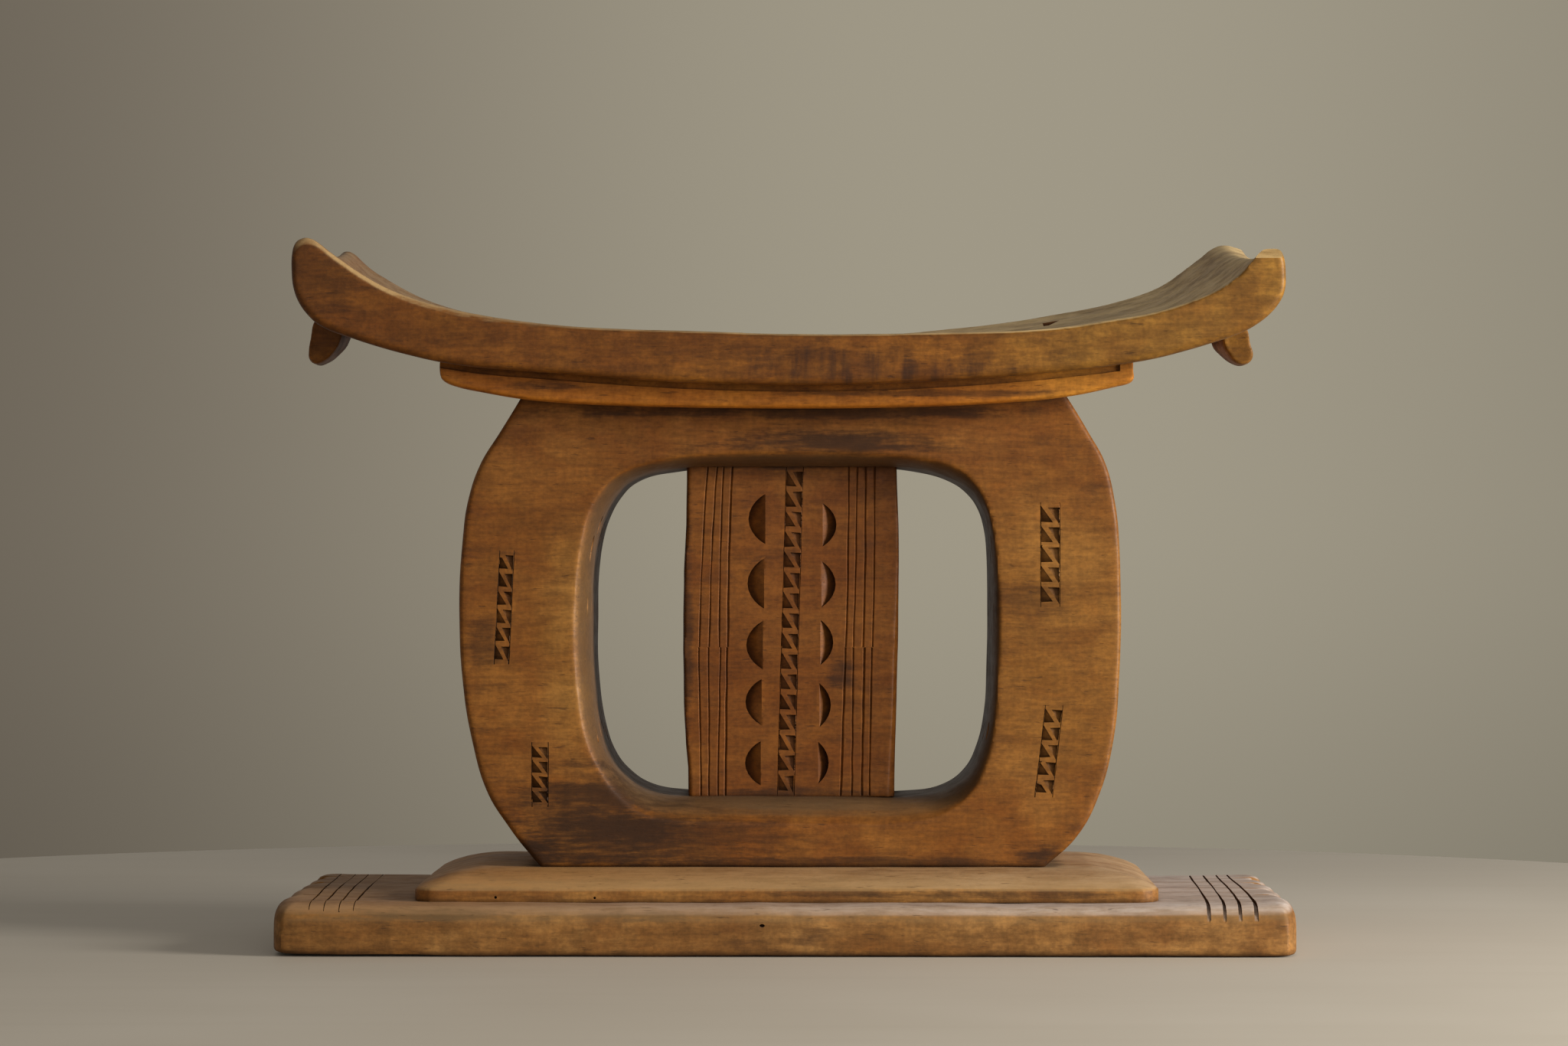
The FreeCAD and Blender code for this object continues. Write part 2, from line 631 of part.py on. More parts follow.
def make_centre_panel(ring):
    """The panel in the ring's opening, with scored lines, crescents and a zigzag band on its face."""
    blank = new_body("panel_blank")
    outline = new_sketch(blank, "panel_outline")
    floor = f"({RING_FOOT} + sill_height)"
    ceiling = f"({LEDGE_UNDER} - lintel_height)"
    low = f"({floor} - sill_height / 4)"
    high = f"({ceiling} + lintel_height / 4)"
    left = "(panel_offset - panel_width / 2)"
    right = "(panel_offset + panel_width / 2)"
    half_up = f"({floor} + {ceiling}) / 2"
    draw(
        outline,
        [
            ((left, high), (f"{left} - panel_bulge", half_up)),
            ((left, low),),
            ((right, low), (f"{right} + panel_bulge", half_up)),
            ((right, high),),
        ],
    )
    pad(blank, outline, "panel_depth", "panel_board")
    doc.recompute()

    face = "panel_depth / 2"
    line_low = f"({floor} + score_margin)"
    line_high = f"({ceiling} - score_margin)"
    for name, side in (("left", -1), ("right", 1)):
        score = new_sketch(blank, f"{name}_score_line", offset=face)
        outer = f"(panel_offset + {side} * (panel_width / 2 - score_inset))"
        half = "score_width / 2"
        draw(
            score,
            [
                ((f"{outer} - {half}", line_low),),
                ((f"{outer} + {half}", line_low),),
                ((f"{outer} + {half}", line_high),),
                ((f"{outer} - {half}", line_high),),
            ],
        )
        cut = pocket(blank, score, "score_sink", f"{name}_score")
        repeat(blank, cut, "H_Axis", "score_pitch", SCORE_COUNT, f"{name}_scores", side > 0)

        moon = new_sketch(blank, f"{name}_moon", offset=face)
        straight = f"(panel_offset + {side} * moon_gap)"
        curved = f"(panel_offset + {side} * (moon_gap + moon_width))"
        lowest = f"({half_up} - moon_pitch * {(MOON_COUNT - 1) / 2})"
        draw(
            moon,
            [
                ((straight, f"{lowest} + moon_height / 2"), (curved, lowest)),
                ((straight, f"{lowest} - moon_height / 2"),),
            ],
        )
        gouge = pocket(blank, moon, "moon_sink", f"{name}_crescent")
        repeat(blank, gouge, "V_Axis", "moon_pitch", MOON_COUNT, f"{name}_crescents")

    band_top = f"({half_up} + panel_band_pitch * {PANEL_BAND_COUNT / 2})"
    carve_band(
        blank, "panel_band", "panel_offset", band_top, "panel_band_width", "panel_band_pitch",
        PANEL_BAND_COUNT, 0.0, face,
    )
    return fitted("centre_panel", blank, ring)


def write(members):
    """Checks every object and writes each member to its own file."""
    for item in doc.Objects:
        if "Invalid" in item.State or "Error" in item.State:
            raise RuntimeError(f"{item.Name} failed: {item.State}")
    os.makedirs("parts", exist_ok=True)
    for member in members:
        shape = member.Shape
        if shape.isNull() or not shape.isValid() or len(shape.Solids) != 1:
            raise RuntimeError(f"{member.Label} is not one sound solid")
        shape.exportStep(f"parts/{member.Label}.step")
        box = shape.BoundBox
        print(
            f"{member.Label}: {shape.Volume / 1000:.1f} cm3, X {box.XMin:.1f} to {box.XMax:.1f}, "
            f"Y {box.YMin:.1f} to {box.YMax:.1f}, Z {box.ZMin:.1f} to {box.ZMax:.1f}"
        )


fill_sheet()
base_plank = make_base_plank()
plinth = make_plinth()
seat = make_seat()
seat_ledge = make_seat_ledge(seat)
left_lug = make_lug("left_lug", -1, "seat_left_reach", seat)
right_lug = make_lug("right_lug", 1, "seat_right_reach", seat)
ring = make_ring(seat_ledge)
centre_panel = make_centre_panel(ring)
doc.recompute()
write([base_plank, plinth, ring, centre_panel, seat_ledge, seat, left_lug, right_lug])
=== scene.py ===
import math
import random

import bpy
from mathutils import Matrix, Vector


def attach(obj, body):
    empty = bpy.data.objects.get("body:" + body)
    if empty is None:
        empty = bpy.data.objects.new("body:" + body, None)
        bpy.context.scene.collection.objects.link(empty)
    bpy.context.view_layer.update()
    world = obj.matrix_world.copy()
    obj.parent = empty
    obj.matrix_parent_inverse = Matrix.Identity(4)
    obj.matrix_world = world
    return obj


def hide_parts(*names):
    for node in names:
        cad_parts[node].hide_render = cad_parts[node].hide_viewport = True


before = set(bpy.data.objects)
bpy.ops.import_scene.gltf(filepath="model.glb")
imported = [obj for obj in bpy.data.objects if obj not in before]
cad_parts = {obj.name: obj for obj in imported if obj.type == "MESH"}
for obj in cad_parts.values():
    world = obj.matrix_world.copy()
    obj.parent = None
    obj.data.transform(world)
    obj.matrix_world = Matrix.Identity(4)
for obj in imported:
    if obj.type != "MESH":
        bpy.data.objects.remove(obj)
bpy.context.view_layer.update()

MM = 0.001
# Faces that meet at more degrees than this are shaded as a crease
CREASE_ANGLE = 38
chance = random.Random(7)


# Carver's helpers
def only(piece):
    """Selects this piece alone and makes it the active one."""
    bpy.ops.object.select_all(action="DESELECT")
    piece.select_set(True)
    bpy.context.view_layer.objects.active = piece


def settle(piece, name):
    """Names the piece and puts its place into its mesh."""
    only(piece)
    bpy.ops.object.transform_apply(location=True, rotation=True, scale=True)
    piece.name = name
    piece.data.name = name
    return piece


def add_modifier(piece, kind, **settings):
    """Adds a modifier, sets it and applies it."""
    only(piece)
    modifier = piece.modifiers.new(kind.title(), kind)
    for key, value in settings.items():
        setattr(modifier, key, value)
    bpy.ops.object.modifier_apply(modifier=modifier.name)


def join(pieces):
    bpy.ops.object.select_all(action="DESELECT")
    for piece in pieces:
        piece.select_set(True)
    bpy.context.view_layer.objects.active = pieces[0]
    if len(pieces) > 1:
        bpy.ops.object.join()
    return bpy.context.object


def drawn_line(points, place, corners=(), steps=6):
    """A closed line through the points, smooth but for the corners, as a loop of mesh edges."""
    bpy.ops.object.select_all(action="DESELECT")
    bpy.ops.curve.primitive_bezier_circle_add(radius=1.0, location=(0, 0, 0))
    line = bpy.context.object
    spline = line.data.splines[0]
    spline.bezier_points.add(len(points) - len(spline.bezier_points))
    line.data.resolution_u = steps
    for number, (point, knot) in enumerate(zip(points, spline.bezier_points)):
        knot.co = Vector(place(*point)) * MM
        kind = "VECTOR" if number in corners else "AUTO"
        knot.handle_left_type = kind
        knot.handle_right_type = kind
    bpy.ops.object.convert(target="MESH")
    return bpy.context.object


def skin(loops, closed=False):
    """One surface over the loops. Its two ends are joined to each other, or each is closed by a face."""
    for number, loop in enumerate(loops):
        group = loop.vertex_groups.new(name=f"loop {number}")
        group.add(list(range(len(loop.data.vertices))), 1.0, "REPLACE")
    piece = join(loops)
    count = len(loops)
    pairs = [(number, number + 1) for number in range(count - 1)]
    if closed:
        pairs.append((count - 1, 0))

    def select(numbers):
        bpy.ops.mesh.select_all(action="DESELECT")
        for number in numbers:
            piece.vertex_groups.active_index = piece.vertex_groups[f"loop {number}"].index
            bpy.ops.object.vertex_group_select()

    bpy.ops.object.mode_set(mode="EDIT")
    bpy.ops.mesh.select_mode(type="VERT")
    for pair in pairs:
        select(pair)
        bpy.ops.mesh.bridge_edge_loops()
    if not closed:
        for end in (0, count - 1):
            select([end])
            bpy.ops.mesh.edge_face_add()
    bpy.ops.mesh.select_all(action="SELECT")
    bpy.ops.mesh.normals_make_consistent(inside=False)
    bpy.ops.object.mode_set(mode="OBJECT")
    piece.vertex_groups.clear()
    return piece


def pick(piece, wanted):
    """Selects the vertices of the piece that are wanted, by their place in millimetres."""
    bpy.ops.object.mode_set(mode="EDIT")
    bpy.ops.mesh.select_mode(type="VERT")
    bpy.ops.mesh.select_all(action="DESELECT")
    bpy.ops.object.mode_set(mode="OBJECT")
    for vertex in piece.data.vertices:
        vertex.select = bool(wanted(vertex.co / MM))
    bpy.ops.object.mode_set(mode="EDIT")


def shift(piece, wanted, by):
    """Moves the wanted vertices of the piece by so many millimetres."""
    pick(piece, wanted)
    bpy.ops.transform.translate(value=Vector(by) * MM)
    bpy.ops.object.mode_set(mode="OBJECT")


def block(low, high):
    """A rough block between two corners, in millimetres."""
    low, high = Vector(low), Vector(high)
    bpy.ops.object.select_all(action="DESELECT")
    bpy.ops.mesh.primitive_cube_add(size=1.0, location=(low + high) / 2 * MM)
    piece = bpy.context.object
    piece.scale = (high - low) * MM
    bpy.ops.object.transform_apply(location=True, rotation=True, scale=True)
    return piece


def saw(piece, at, across):
    """Cuts the block's faces along a plane, so that the rows of points there can be moved."""
    only(piece)
    bpy.ops.object.mode_set(mode="EDIT")
    bpy.ops.mesh.select_all(action="SELECT")
    bpy.ops.mesh.bisect(plane_co=Vector(at) * MM, plane_no=across)
    bpy.ops.object.mode_set(mode="OBJECT")


def hew(piece, facet, rounds, wobble, wobble_size, seed, keep=1.0):
    """Gives the blocked-out piece the slightly soft and uneven faces of hand-carved wood.

    facet: size of the faces in mm; rounds: how often they are smoothed; wobble, wobble_size: height and
    width of the unevenness in mm; keep: the share of the faces that stays, so that flat places get fewer.
    """
    coarse = 1.0
    add_modifier(piece, "REMESH", mode="VOXEL", voxel_size=facet * coarse * MM)
    add_modifier(piece, "SMOOTH", factor=0.5, iterations=rounds)
    hand = bpy.data.textures.new(f"hand {piece.name}", "CLOUDS")
    hand.noise_scale = wobble_size * MM
    hand.noise_depth = 1
    settle_offset(piece, (seed * 0.37, seed * 0.21, seed * 0.11))
    add_modifier(piece, "DISPLACE", texture=hand, texture_coords="LOCAL",
                 strength=wobble * MM, mid_level=0.55)
    settle_offset(piece, (-seed * 0.37, -seed * 0.21, -seed * 0.11))
    if keep < 1.0:
        add_modifier(piece, "DECIMATE", ratio=keep)


def settle_offset(piece, by):
    """Moves the mesh away and back, so that no two pieces get the same unevenness."""
    only(piece)
    piece.location = by
    bpy.ops.object.transform_apply(location=True, rotation=False, scale=False)


def carve(piece, cutters):
    """Takes the cutters out of the piece."""
    cutter = join(cutters)
    only(cutter)
    bpy.ops.object.mode_set(mode="EDIT")
    bpy.ops.mesh.select_all(action="SELECT")
    bpy.ops.mesh.normals_make_consistent(inside=False)
    bpy.ops.object.mode_set(mode="OBJECT")
    add_modifier(piece, "BOOLEAN", operation="DIFFERENCE", solver="MANIFOLD", object=cutter)
    bpy.data.objects.remove(cutter)


def flat_face(points):
    """A flat face through the points (x, y, z in mm), the start of a cutter."""
    bpy.ops.object.select_all(action="DESELECT")
    bpy.ops.mesh.primitive_circle_add(vertices=len(points), radius=1.0, fill_type="NGON",
                                      location=(0, 0, 0))
    face = bpy.context.object
    for vertex, point in zip(face.data.vertices, points):
        vertex.co = Vector(point) * MM
    return face


def draw_out(piece, steps):
    """Extrudes the whole face by each of the steps in turn, in millimetres."""
    bpy.ops.object.mode_set(mode="EDIT")
    bpy.ops.mesh.select_all(action="SELECT")
    for step in steps:
        bpy.ops.mesh.extrude_region_move(TRANSFORM_OT_translate={"value": Vector(step) * MM})
    bpy.ops.object.mode_set(mode="OBJECT")


def gouge(outline, out, floor):
    """A cutter for a pit in a face that looks to the front: its outline, and how deep each point goes.

    outline: (x, z) in mm; out: y of a place in front of the face; floor: y of each point's floor.
    """
    cutter = flat_face([(x, out, z) for x, z in outline])
    draw_out(cutter, [(0, 100, 0)])
    count = len(outline)
    for vertex in cutter.data.vertices:
        if vertex.co.y > (out + 50) * MM:
            nearest = min(range(count), key=lambda i: (Vector((outline[i][0], 0, outline[i][1])) * MM
                                                      - Vector((vertex.co.x, 0, vertex.co.z))).length)
            vertex.co.y = floor[nearest] * MM
    return cutter


def worm_hole(x, y, z, near, far, depth, corners):
    """A round cutter that runs in from the front and narrows from one radius to the other."""
    bpy.ops.object.select_all(action="DESELECT")
    bpy.ops.mesh.primitive_cone_add(vertices=corners, radius1=near * MM, radius2=far * MM,
                                    depth=depth * MM, location=(x * MM, y * MM, z * MM),
                                    rotation=(math.radians(-90), 0, 0))
    return bpy.context.object


def scored_line(points, width, out, sink):
    """A V-shaped cutter that follows points (x, y of the face, z) down a face that looks to the front."""
    across = width * (out + sink) / sink / 2
    first = Vector(points[0])
    corners = [(-across, -out, 0), (across, -out, 0), (0, sink, 0)]
    cutter = flat_face([first + Vector(corner) for corner in corners])
    draw_out(cutter, [Vector(there) - Vector(here) for here, there in zip(points, points[1:])])
    return cutter


def zigzag_band(middle, top, width, pitch, count, lean, face, sink):
    """Cutters for a chip-carved band: in each zig two triangular chips, deepest in their square corner."""
    cutters = []
    slope = math.tan(math.radians(lean))
    bar = pitch * 0.14
    for zig in range(count):
        high = top - zig * pitch
        low = high - pitch
        half = width / 2 * chance.uniform(0.96, 1.04)

        def at(x, z):
            return (middle + x - (top - z) * slope, z)

        y = face((high + low) / 2)
        for corners in (
            [(-half, low + bar), (-half, high - bar * 0.2), (half * 0.3, low + bar)],
            [(half, high - bar), (half, low + bar * 0.1), (-half * 0.22, high - bar)],
        ):
            uneven = [(x + chance.uniform(-0.14, 0.14), z + chance.uniform(-0.22, 0.22))
                      for x, z in corners]
            deep = sink * chance.uniform(0.85, 1.15)
            outline = [at(*corner) for corner in uneven]
            cutters.append(gouge(outline, y - 2.5, [y + deep, y + 0.4 * deep, y + 0.5 * deep]))
    # the upright score lines that bound the band
    for side in (-1, 1):
        line = []
        for step in range(count * 2 + 1):
            z = top + 1.2 - step * (count * pitch + 2.4) / (count * 2)
            x = middle + side * (width / 2 + 0.1) - (top - z) * slope + chance.uniform(-0.12, 0.12)
            line.append((x, face(z), z))
        cutters.append(scored_line(line, 0.6, 0.8, 0.5))
    return cutters


def finish_piece(piece, name, node, slot):
    """Shades the piece, lets it take its CAD node's place, and gives it its wood."""
    only(piece)
    bpy.ops.object.shade_smooth_by_angle(angle=math.radians(CREASE_ANGLE))
    piece.name = name
    piece.data.name = name
    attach(piece, "root")
    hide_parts(node)
    looks = {"seat_wood": SEAT_WOOD, "ring_wood": RING_WOOD, "plank_wood": PLANK_WOOD}
    own_looks = {"centre_panel": PANEL_WOOD, "plinth": PLINTH_WOOD, "seat_ledge": LEDGE_WOOD_PAINTED_LIGHT}
    dress(piece, own_looks.get(node, looks[slot]))
    return piece


def mirrored(half):
    """Stations (y, then what holds there) of a front half, a plain middle one, and the back half."""
    middle = (0.0,) * len(half[0])
    return half + [middle] + [(-y, *rest) for y, *rest in reversed(half)]


def mix(a, b, share):
    return a + (b - a) * share


def under_seat(x):
    """Height of the seat's underside along the front, at x."""
    line = sorted(SEAT_UNDER)
    for (x0, z0), (x1, z1) in zip(line, line[1:]):
        if x0 <= x <= x1:
            return mix(z0, z1, (x - x0) / (x1 - x0))
    return line[0][1] if x < line[0][0] else line[-1][1]


def climb(y):
    """How far the undersides of the seat and the ledge climb from the front to the back."""
    return 4.2 * (1 + y / SEAT_HALF)


# Seat
# Top edge, left to right: x, height at the front, height at the back
SEAT_TOP = [
    (-237.6, 347.4, 354.6), (-234.4, 349.4, 356.6), (-230.0, 349.2, 354.8), (-226.0, 346.8, 351.0),
    (-221.0, 342.8, 346.6), (-214.0, 337.8, 342.2), (-205.0, 331.8, 337.0), (-194.0, 325.6, 331.4),
    (-182.0, 320.6, 327.0), (-168.0, 316.4, 323.2), (-150.0, 312.2, 319.2), (-125.0, 308.4, 315.8),
    (-90.0, 305.6, 313.2), (-45.0, 303.8, 311.8), (0.0, 302.6, 310.8), (45.0, 302.6, 311.4),
    (85.0, 303.2, 314.6), (118.0, 304.2, 318.6), (142.0, 306.4, 322.6), (160.0, 309.2, 325.8),
    (174.0, 311.4, 329.2), (188.0, 314.8, 333.4), (200.0, 319.0, 338.8), (210.0, 323.4, 345.8),
    (219.0, 329.2, 352.6), (225.5, 335.4, 357.6), (229.6, 340.2, 359.0), (233.0, 343.6, 358.8),
    (240.0, 343.8, 356.8),
]
# Right end, top to bottom
SEAT_RIGHT_END = [(242.0, 340.6, 350.0), (243.4, 331.0, 338.0), (242.9, 322.6, 325.0)]
# Underside, right to left: x, height
SEAT_UNDER = [
    (240.2, 316.4), (235.9, 311.3), (230.0, 306.6), (222.0, 302.2), (206.0, 296.7), (193.0, 292.9),
    (179.0, 289.5), (163.0, 286.8), (140.0, 284.0), (110.0, 281.2), (70.0, 278.4), (21.0, 276.7),
    (-30.0, 277.4), (-70.0, 279.4), (-100.0, 281.6), (-130.0, 284.0), (-150.0, 285.8), (-168.0, 288.2),
    (-182.0, 291.2), (-196.0, 294.9), (-212.0, 300.3), (-226.0, 305.9), (-232.2, 311.4), (-236.8, 318.0),
]
# Left end, bottom to top
SEAT_LEFT_END = [(-239.0, 325.0, 327.0), (-239.7, 333.0, 337.0), (-239.3, 342.0, 348.0)]
SEAT_HALF = 110.0
SEAT_DISH = 6.2


def seat_outline():
    """Points round the seat, with the share of the dish and of the lower bevel that each one takes."""
    points = [(x, front, back, 1.0, 0.0) for x, front, back in SEAT_TOP]
    points += [(x, front, back, 0.35, 0.0) for x, front, back in SEAT_RIGHT_END]
    points += [(x, z, z, 0.0, 1.0) for x, z in SEAT_UNDER]
    points += [(x, front, back, 0.35, 0.0) for x, front, back in SEAT_LEFT_END]
    return points


def seat_place(y, bevel, inset):
    """Where a point of the seat's outline goes, this far back, with so much lower bevel and inset ends."""
    across = y / SEAT_HALF

    def place(x, front, back, dish, under):
        z = mix(front, back, (across + 1) / 2) - dish * SEAT_DISH * (1 - abs(across) ** 3.2)
        z += under * (bevel + climb(y)) - dish * inset * (0.9 + 1.3 * min(1.0, max(0.0, (-x - 60) / 120)))
        return (x * (1 - inset / 240.0), y, z)

    return place


def make_seat():
    # each: y, lower bevel, inset of the ends
    front = [
        (-110.0, 2.2, 1.6), (-109.4, 1.0, 0.8), (-107.8, 0.2, 0.2), (-105.0, 0.0, 0.0), (-92.0, 0.0, 0.0),
        (-70.0, 0.0, 0.0), (-38.0, 0.0, 0.0),
    ]
    outline = seat_outline()
    sawn_flat = [number for number, point in enumerate(outline) if point[0] in (233.0, 240.0)]
    stations = mirrored(front)
    loops = [drawn_line(outline, seat_place(*station), sawn_flat, steps=3) for station in stations]
    seat = settle(skin(loops), "seat_wood")
    hew(seat, 1.25, 8, 0.7, 48.0, 1, keep=0.38)

    # the nick in the top
    nick = block((133.6, 71.0, 309.0), (142.4, 85.0, 325.0))
    shift(nick, lambda p: p.x > 140 and p.y < 75, (-6.0, 0, 0))
    # the worn strip along the top of the right horn's front edge
    strip = block((228.0, -125.0, 338.4), (250.0, -110.0, 365.0))
    shift(strip, lambda p: p.y > -115 and p.z > 350, (0, 31.0, 0))
    shift(strip, lambda p: p.y > -115 and p.z < 350, (0, 0.3, 0))
    carve(seat, [nick, strip])
    finish_piece(seat, "seat_wood", "seat", "seat_wood")


# Ledge under the seat
LEDGE_UNDER = [
    (163.0, 276.2), (140.0, 271.4), (112.0, 268.4), (84.0, 266.9), (42.0, 265.8), (0.0, 265.5),
    (-42.0, 265.8), (-84.0, 266.9), (-112.0, 268.3), (-130.0, 270.2), (-150.0, 273.6),
]
LEDGE_RIGHT_END = [(170.6, 283.0), (171.0, 280.6), (170.0, 278.6), (167.4, 277.2)]
LEDGE_LEFT_END = [(-160.0, 275.8), (-165.8, 278.0), (-168.2, 280.2), (-168.9, 283.0)]


def make_ledge():
    across = [-168.9, -150.0, -120.0, -85.0, -45.0, 0.0, 45.0, 85.0, 120.0, 150.0, 170.6]
    outline = [(x, under_seat(x) + 1.2, 0.0) for x in across]
    for x, z in LEDGE_RIGHT_END + LEDGE_UNDER + LEDGE_LEFT_END:
        outline.append((x, z, 1.0))

    def ledge_place(y, bevel, inset):
        def place(x, z, under):
            lift = under * (bevel + 0.8 * climb(y)) * min(1.0, (under_seat(x) + 1.2 - z) / 11.0)
            return (x * (1 - inset / 170.0), y, z + lift + (1 - under) * climb(y))

        return place

    front = [
        (-89.4, 3.4, 0.5), (-89.8, 2.2, 0.2), (-89.0, 0.8, 0.0), (-86.5, 0.0, 0.0), (-40.0, 0.0, 0.0),
    ]
    stations = mirrored(front)
    corners = (0, len(across) - 1)
    loops = [drawn_line(outline, ledge_place(*station), corners, steps=4) for station in stations]
    ledge = settle(skin(loops), "seat_ledge_wood")
    hew(ledge, 1.05, 2, 0.5, 34.0, 2, keep=0.38)

    # the upper band of its front and back is set back behind the rounded lower one
    rebates = []
    reach = [-175.0] + across[1:-1] + [164.0]
    for side in (-1, 1):
        outline = [(x, under_seat(x) - 3.4) for x in reach]
        outline += [(x, under_seat(x) + 12.0) for x in reversed(reach)]
        corners = (0, len(reach) - 1, len(reach), 2 * len(reach) - 1)
        loops = [drawn_line(outline, lambda x, z, y=y: (x, side * y, z + climb(side * y)), corners, steps=3)
                 for y in (88.2, 95.0)]
        rebates.append(skin(loops))
    carve(ledge, rebates)
    finish_piece(ledge, "seat_ledge_wood", "seat_ledge", "seat_wood")


# Lugs under the seat's ends
LEFT_LUG = [
    (-238.4, 312.5), (-240.4, 304.0), (-241.8, 297.5), (-241.6, 293.4), (-238.6, 291.0), (-234.3, 292.0),
    (-228.6, 295.8), (-223.4, 302.4), (-222.4, 313.0), (-231.0, 319.5),
]
RIGHT_LUG = [
    (232.4, 308.4), (234.2, 301.0), (235.9, 295.6), (234.9, 292.4), (231.4, 290.4), (227.2, 291.2),
    (220.6, 295.6), (216.4, 300.8), (217.0, 309.0), (227.0, 314.0),
]


def make_lug(name, node, outline, seed):
    middle_x = sum(x for x, z in outline) / len(outline)
    reach = max(abs(x - middle_x) for x, z in outline)
    outer = 1 if middle_x > 0 else -1

    def lug_place(y, inset):
        def place(x, z):
            low = max(0.0, (306.0 - z) / 16.0)
            share = 1 - inset * low
            inner = max(0.0, -outer * (x - middle_x) / reach)
            slope = outer * (3.2 + outer) * inner * (0.5 - y / 30.0)
            return (middle_x + (x - middle_x) * share + slope, y * (1 - 0.22 * low), z + (1 - share) * 6)

        return place

    front = [(-15.0, 0.2), (-14.2, 0.08), (-11.0, 0.0)]
    stations = mirrored(front)
    loops = [drawn_line(outline, lug_place(*station), steps=5) for station in stations]
    lug = settle(skin(loops), name)
    hew(lug, 0.6, 3, 0.4, 14.0, seed)
    finish_piece(lug, name, node, "seat_wood")


# Ring
RING_OUTER = [
    (-128.0, 278.0), (-96.0, 275.8), (-48.0, 273.6), (3.0, 273.0), (50.0, 273.6), (98.0, 275.8),
    (136.4, 278.4), (150.6, 255.0), (158.4, 241.0), (163.2, 222.0), (165.6, 199.0), (166.4, 166.0),
    (165.6, 135.0), (162.6, 103.0), (155.8, 76.0), (144.6, 55.0), (128.4, 39.6), (88.0, 39.6),
    (46.0, 39.6), (3.0, 39.6), (-40.0, 39.6), (-82.0, 39.6), (-121.3, 39.6), (-136.6, 59.0),
    (-147.4, 76.0), (-155.6, 103.0), (-160.3, 133.0), (-161.9, 166.0), (-160.2, 202.0), (-157.0, 223.0),
    (-150.8, 240.5), (-142.4, 254.0),
]
RING_WAIST = [
    (-78.0, 231.0), (-55.0, 237.2), (-28.0, 238.5), (3.0, 238.7), (34.0, 238.6), (62.0, 237.6),
    (84.0, 231.8), (93.5, 224.8), (98.3, 217.5), (101.0, 209.0), (102.4, 197.0), (103.0, 168.0),
    (102.6, 135.0), (101.0, 112.0), (97.2, 96.5), (91.4, 85.0), (80.0, 76.8), (60.0, 73.4),
    (34.0, 73.6), (3.0, 74.0), (-28.0, 74.0), (-50.0, 73.8), (-70.0, 77.0), (-81.0, 84.2),
    (-88.0, 93.0), (-93.2, 108.0), (-96.3, 130.0), (-97.4, 165.0), (-96.4, 190.0), (-93.8, 205.0),
    (-90.4, 215.0), (-85.6, 223.5),
]
RING_MOUTH = [
    (-84.0, 233.5), (-62.0, 241.5), (-30.0, 244.6), (3.0, 245.2), (36.0, 245.0), (64.0, 242.9),
    (85.8, 237.0), (94.4, 229.0), (99.6, 219.5), (102.6, 208.0), (104.6, 194.0), (105.8, 168.0),
    (105.4, 136.0), (103.2, 107.0), (99.0, 90.0), (91.8, 76.5), (79.0, 66.8), (60.0, 61.8),
    (32.0, 61.0), (3.0, 61.3), (-26.0, 61.9), (-50.0, 62.6), (-70.0, 66.0), (-82.5, 74.4),
    (-91.0, 86.0), (-98.5, 102.0), (-103.0, 126.0), (-104.8, 152.0), (-104.0, 178.0), (-101.5, 199.0),
    (-97.5, 215.0), (-91.5, 226.0),
]
RING_CORNERS = (0, 6, 16, 22)
RING_HALF = 60.0
RING_WAIST_HALF = 34.0
CHISEL_COLUMNS = 9
CHISEL_ROWS = 4


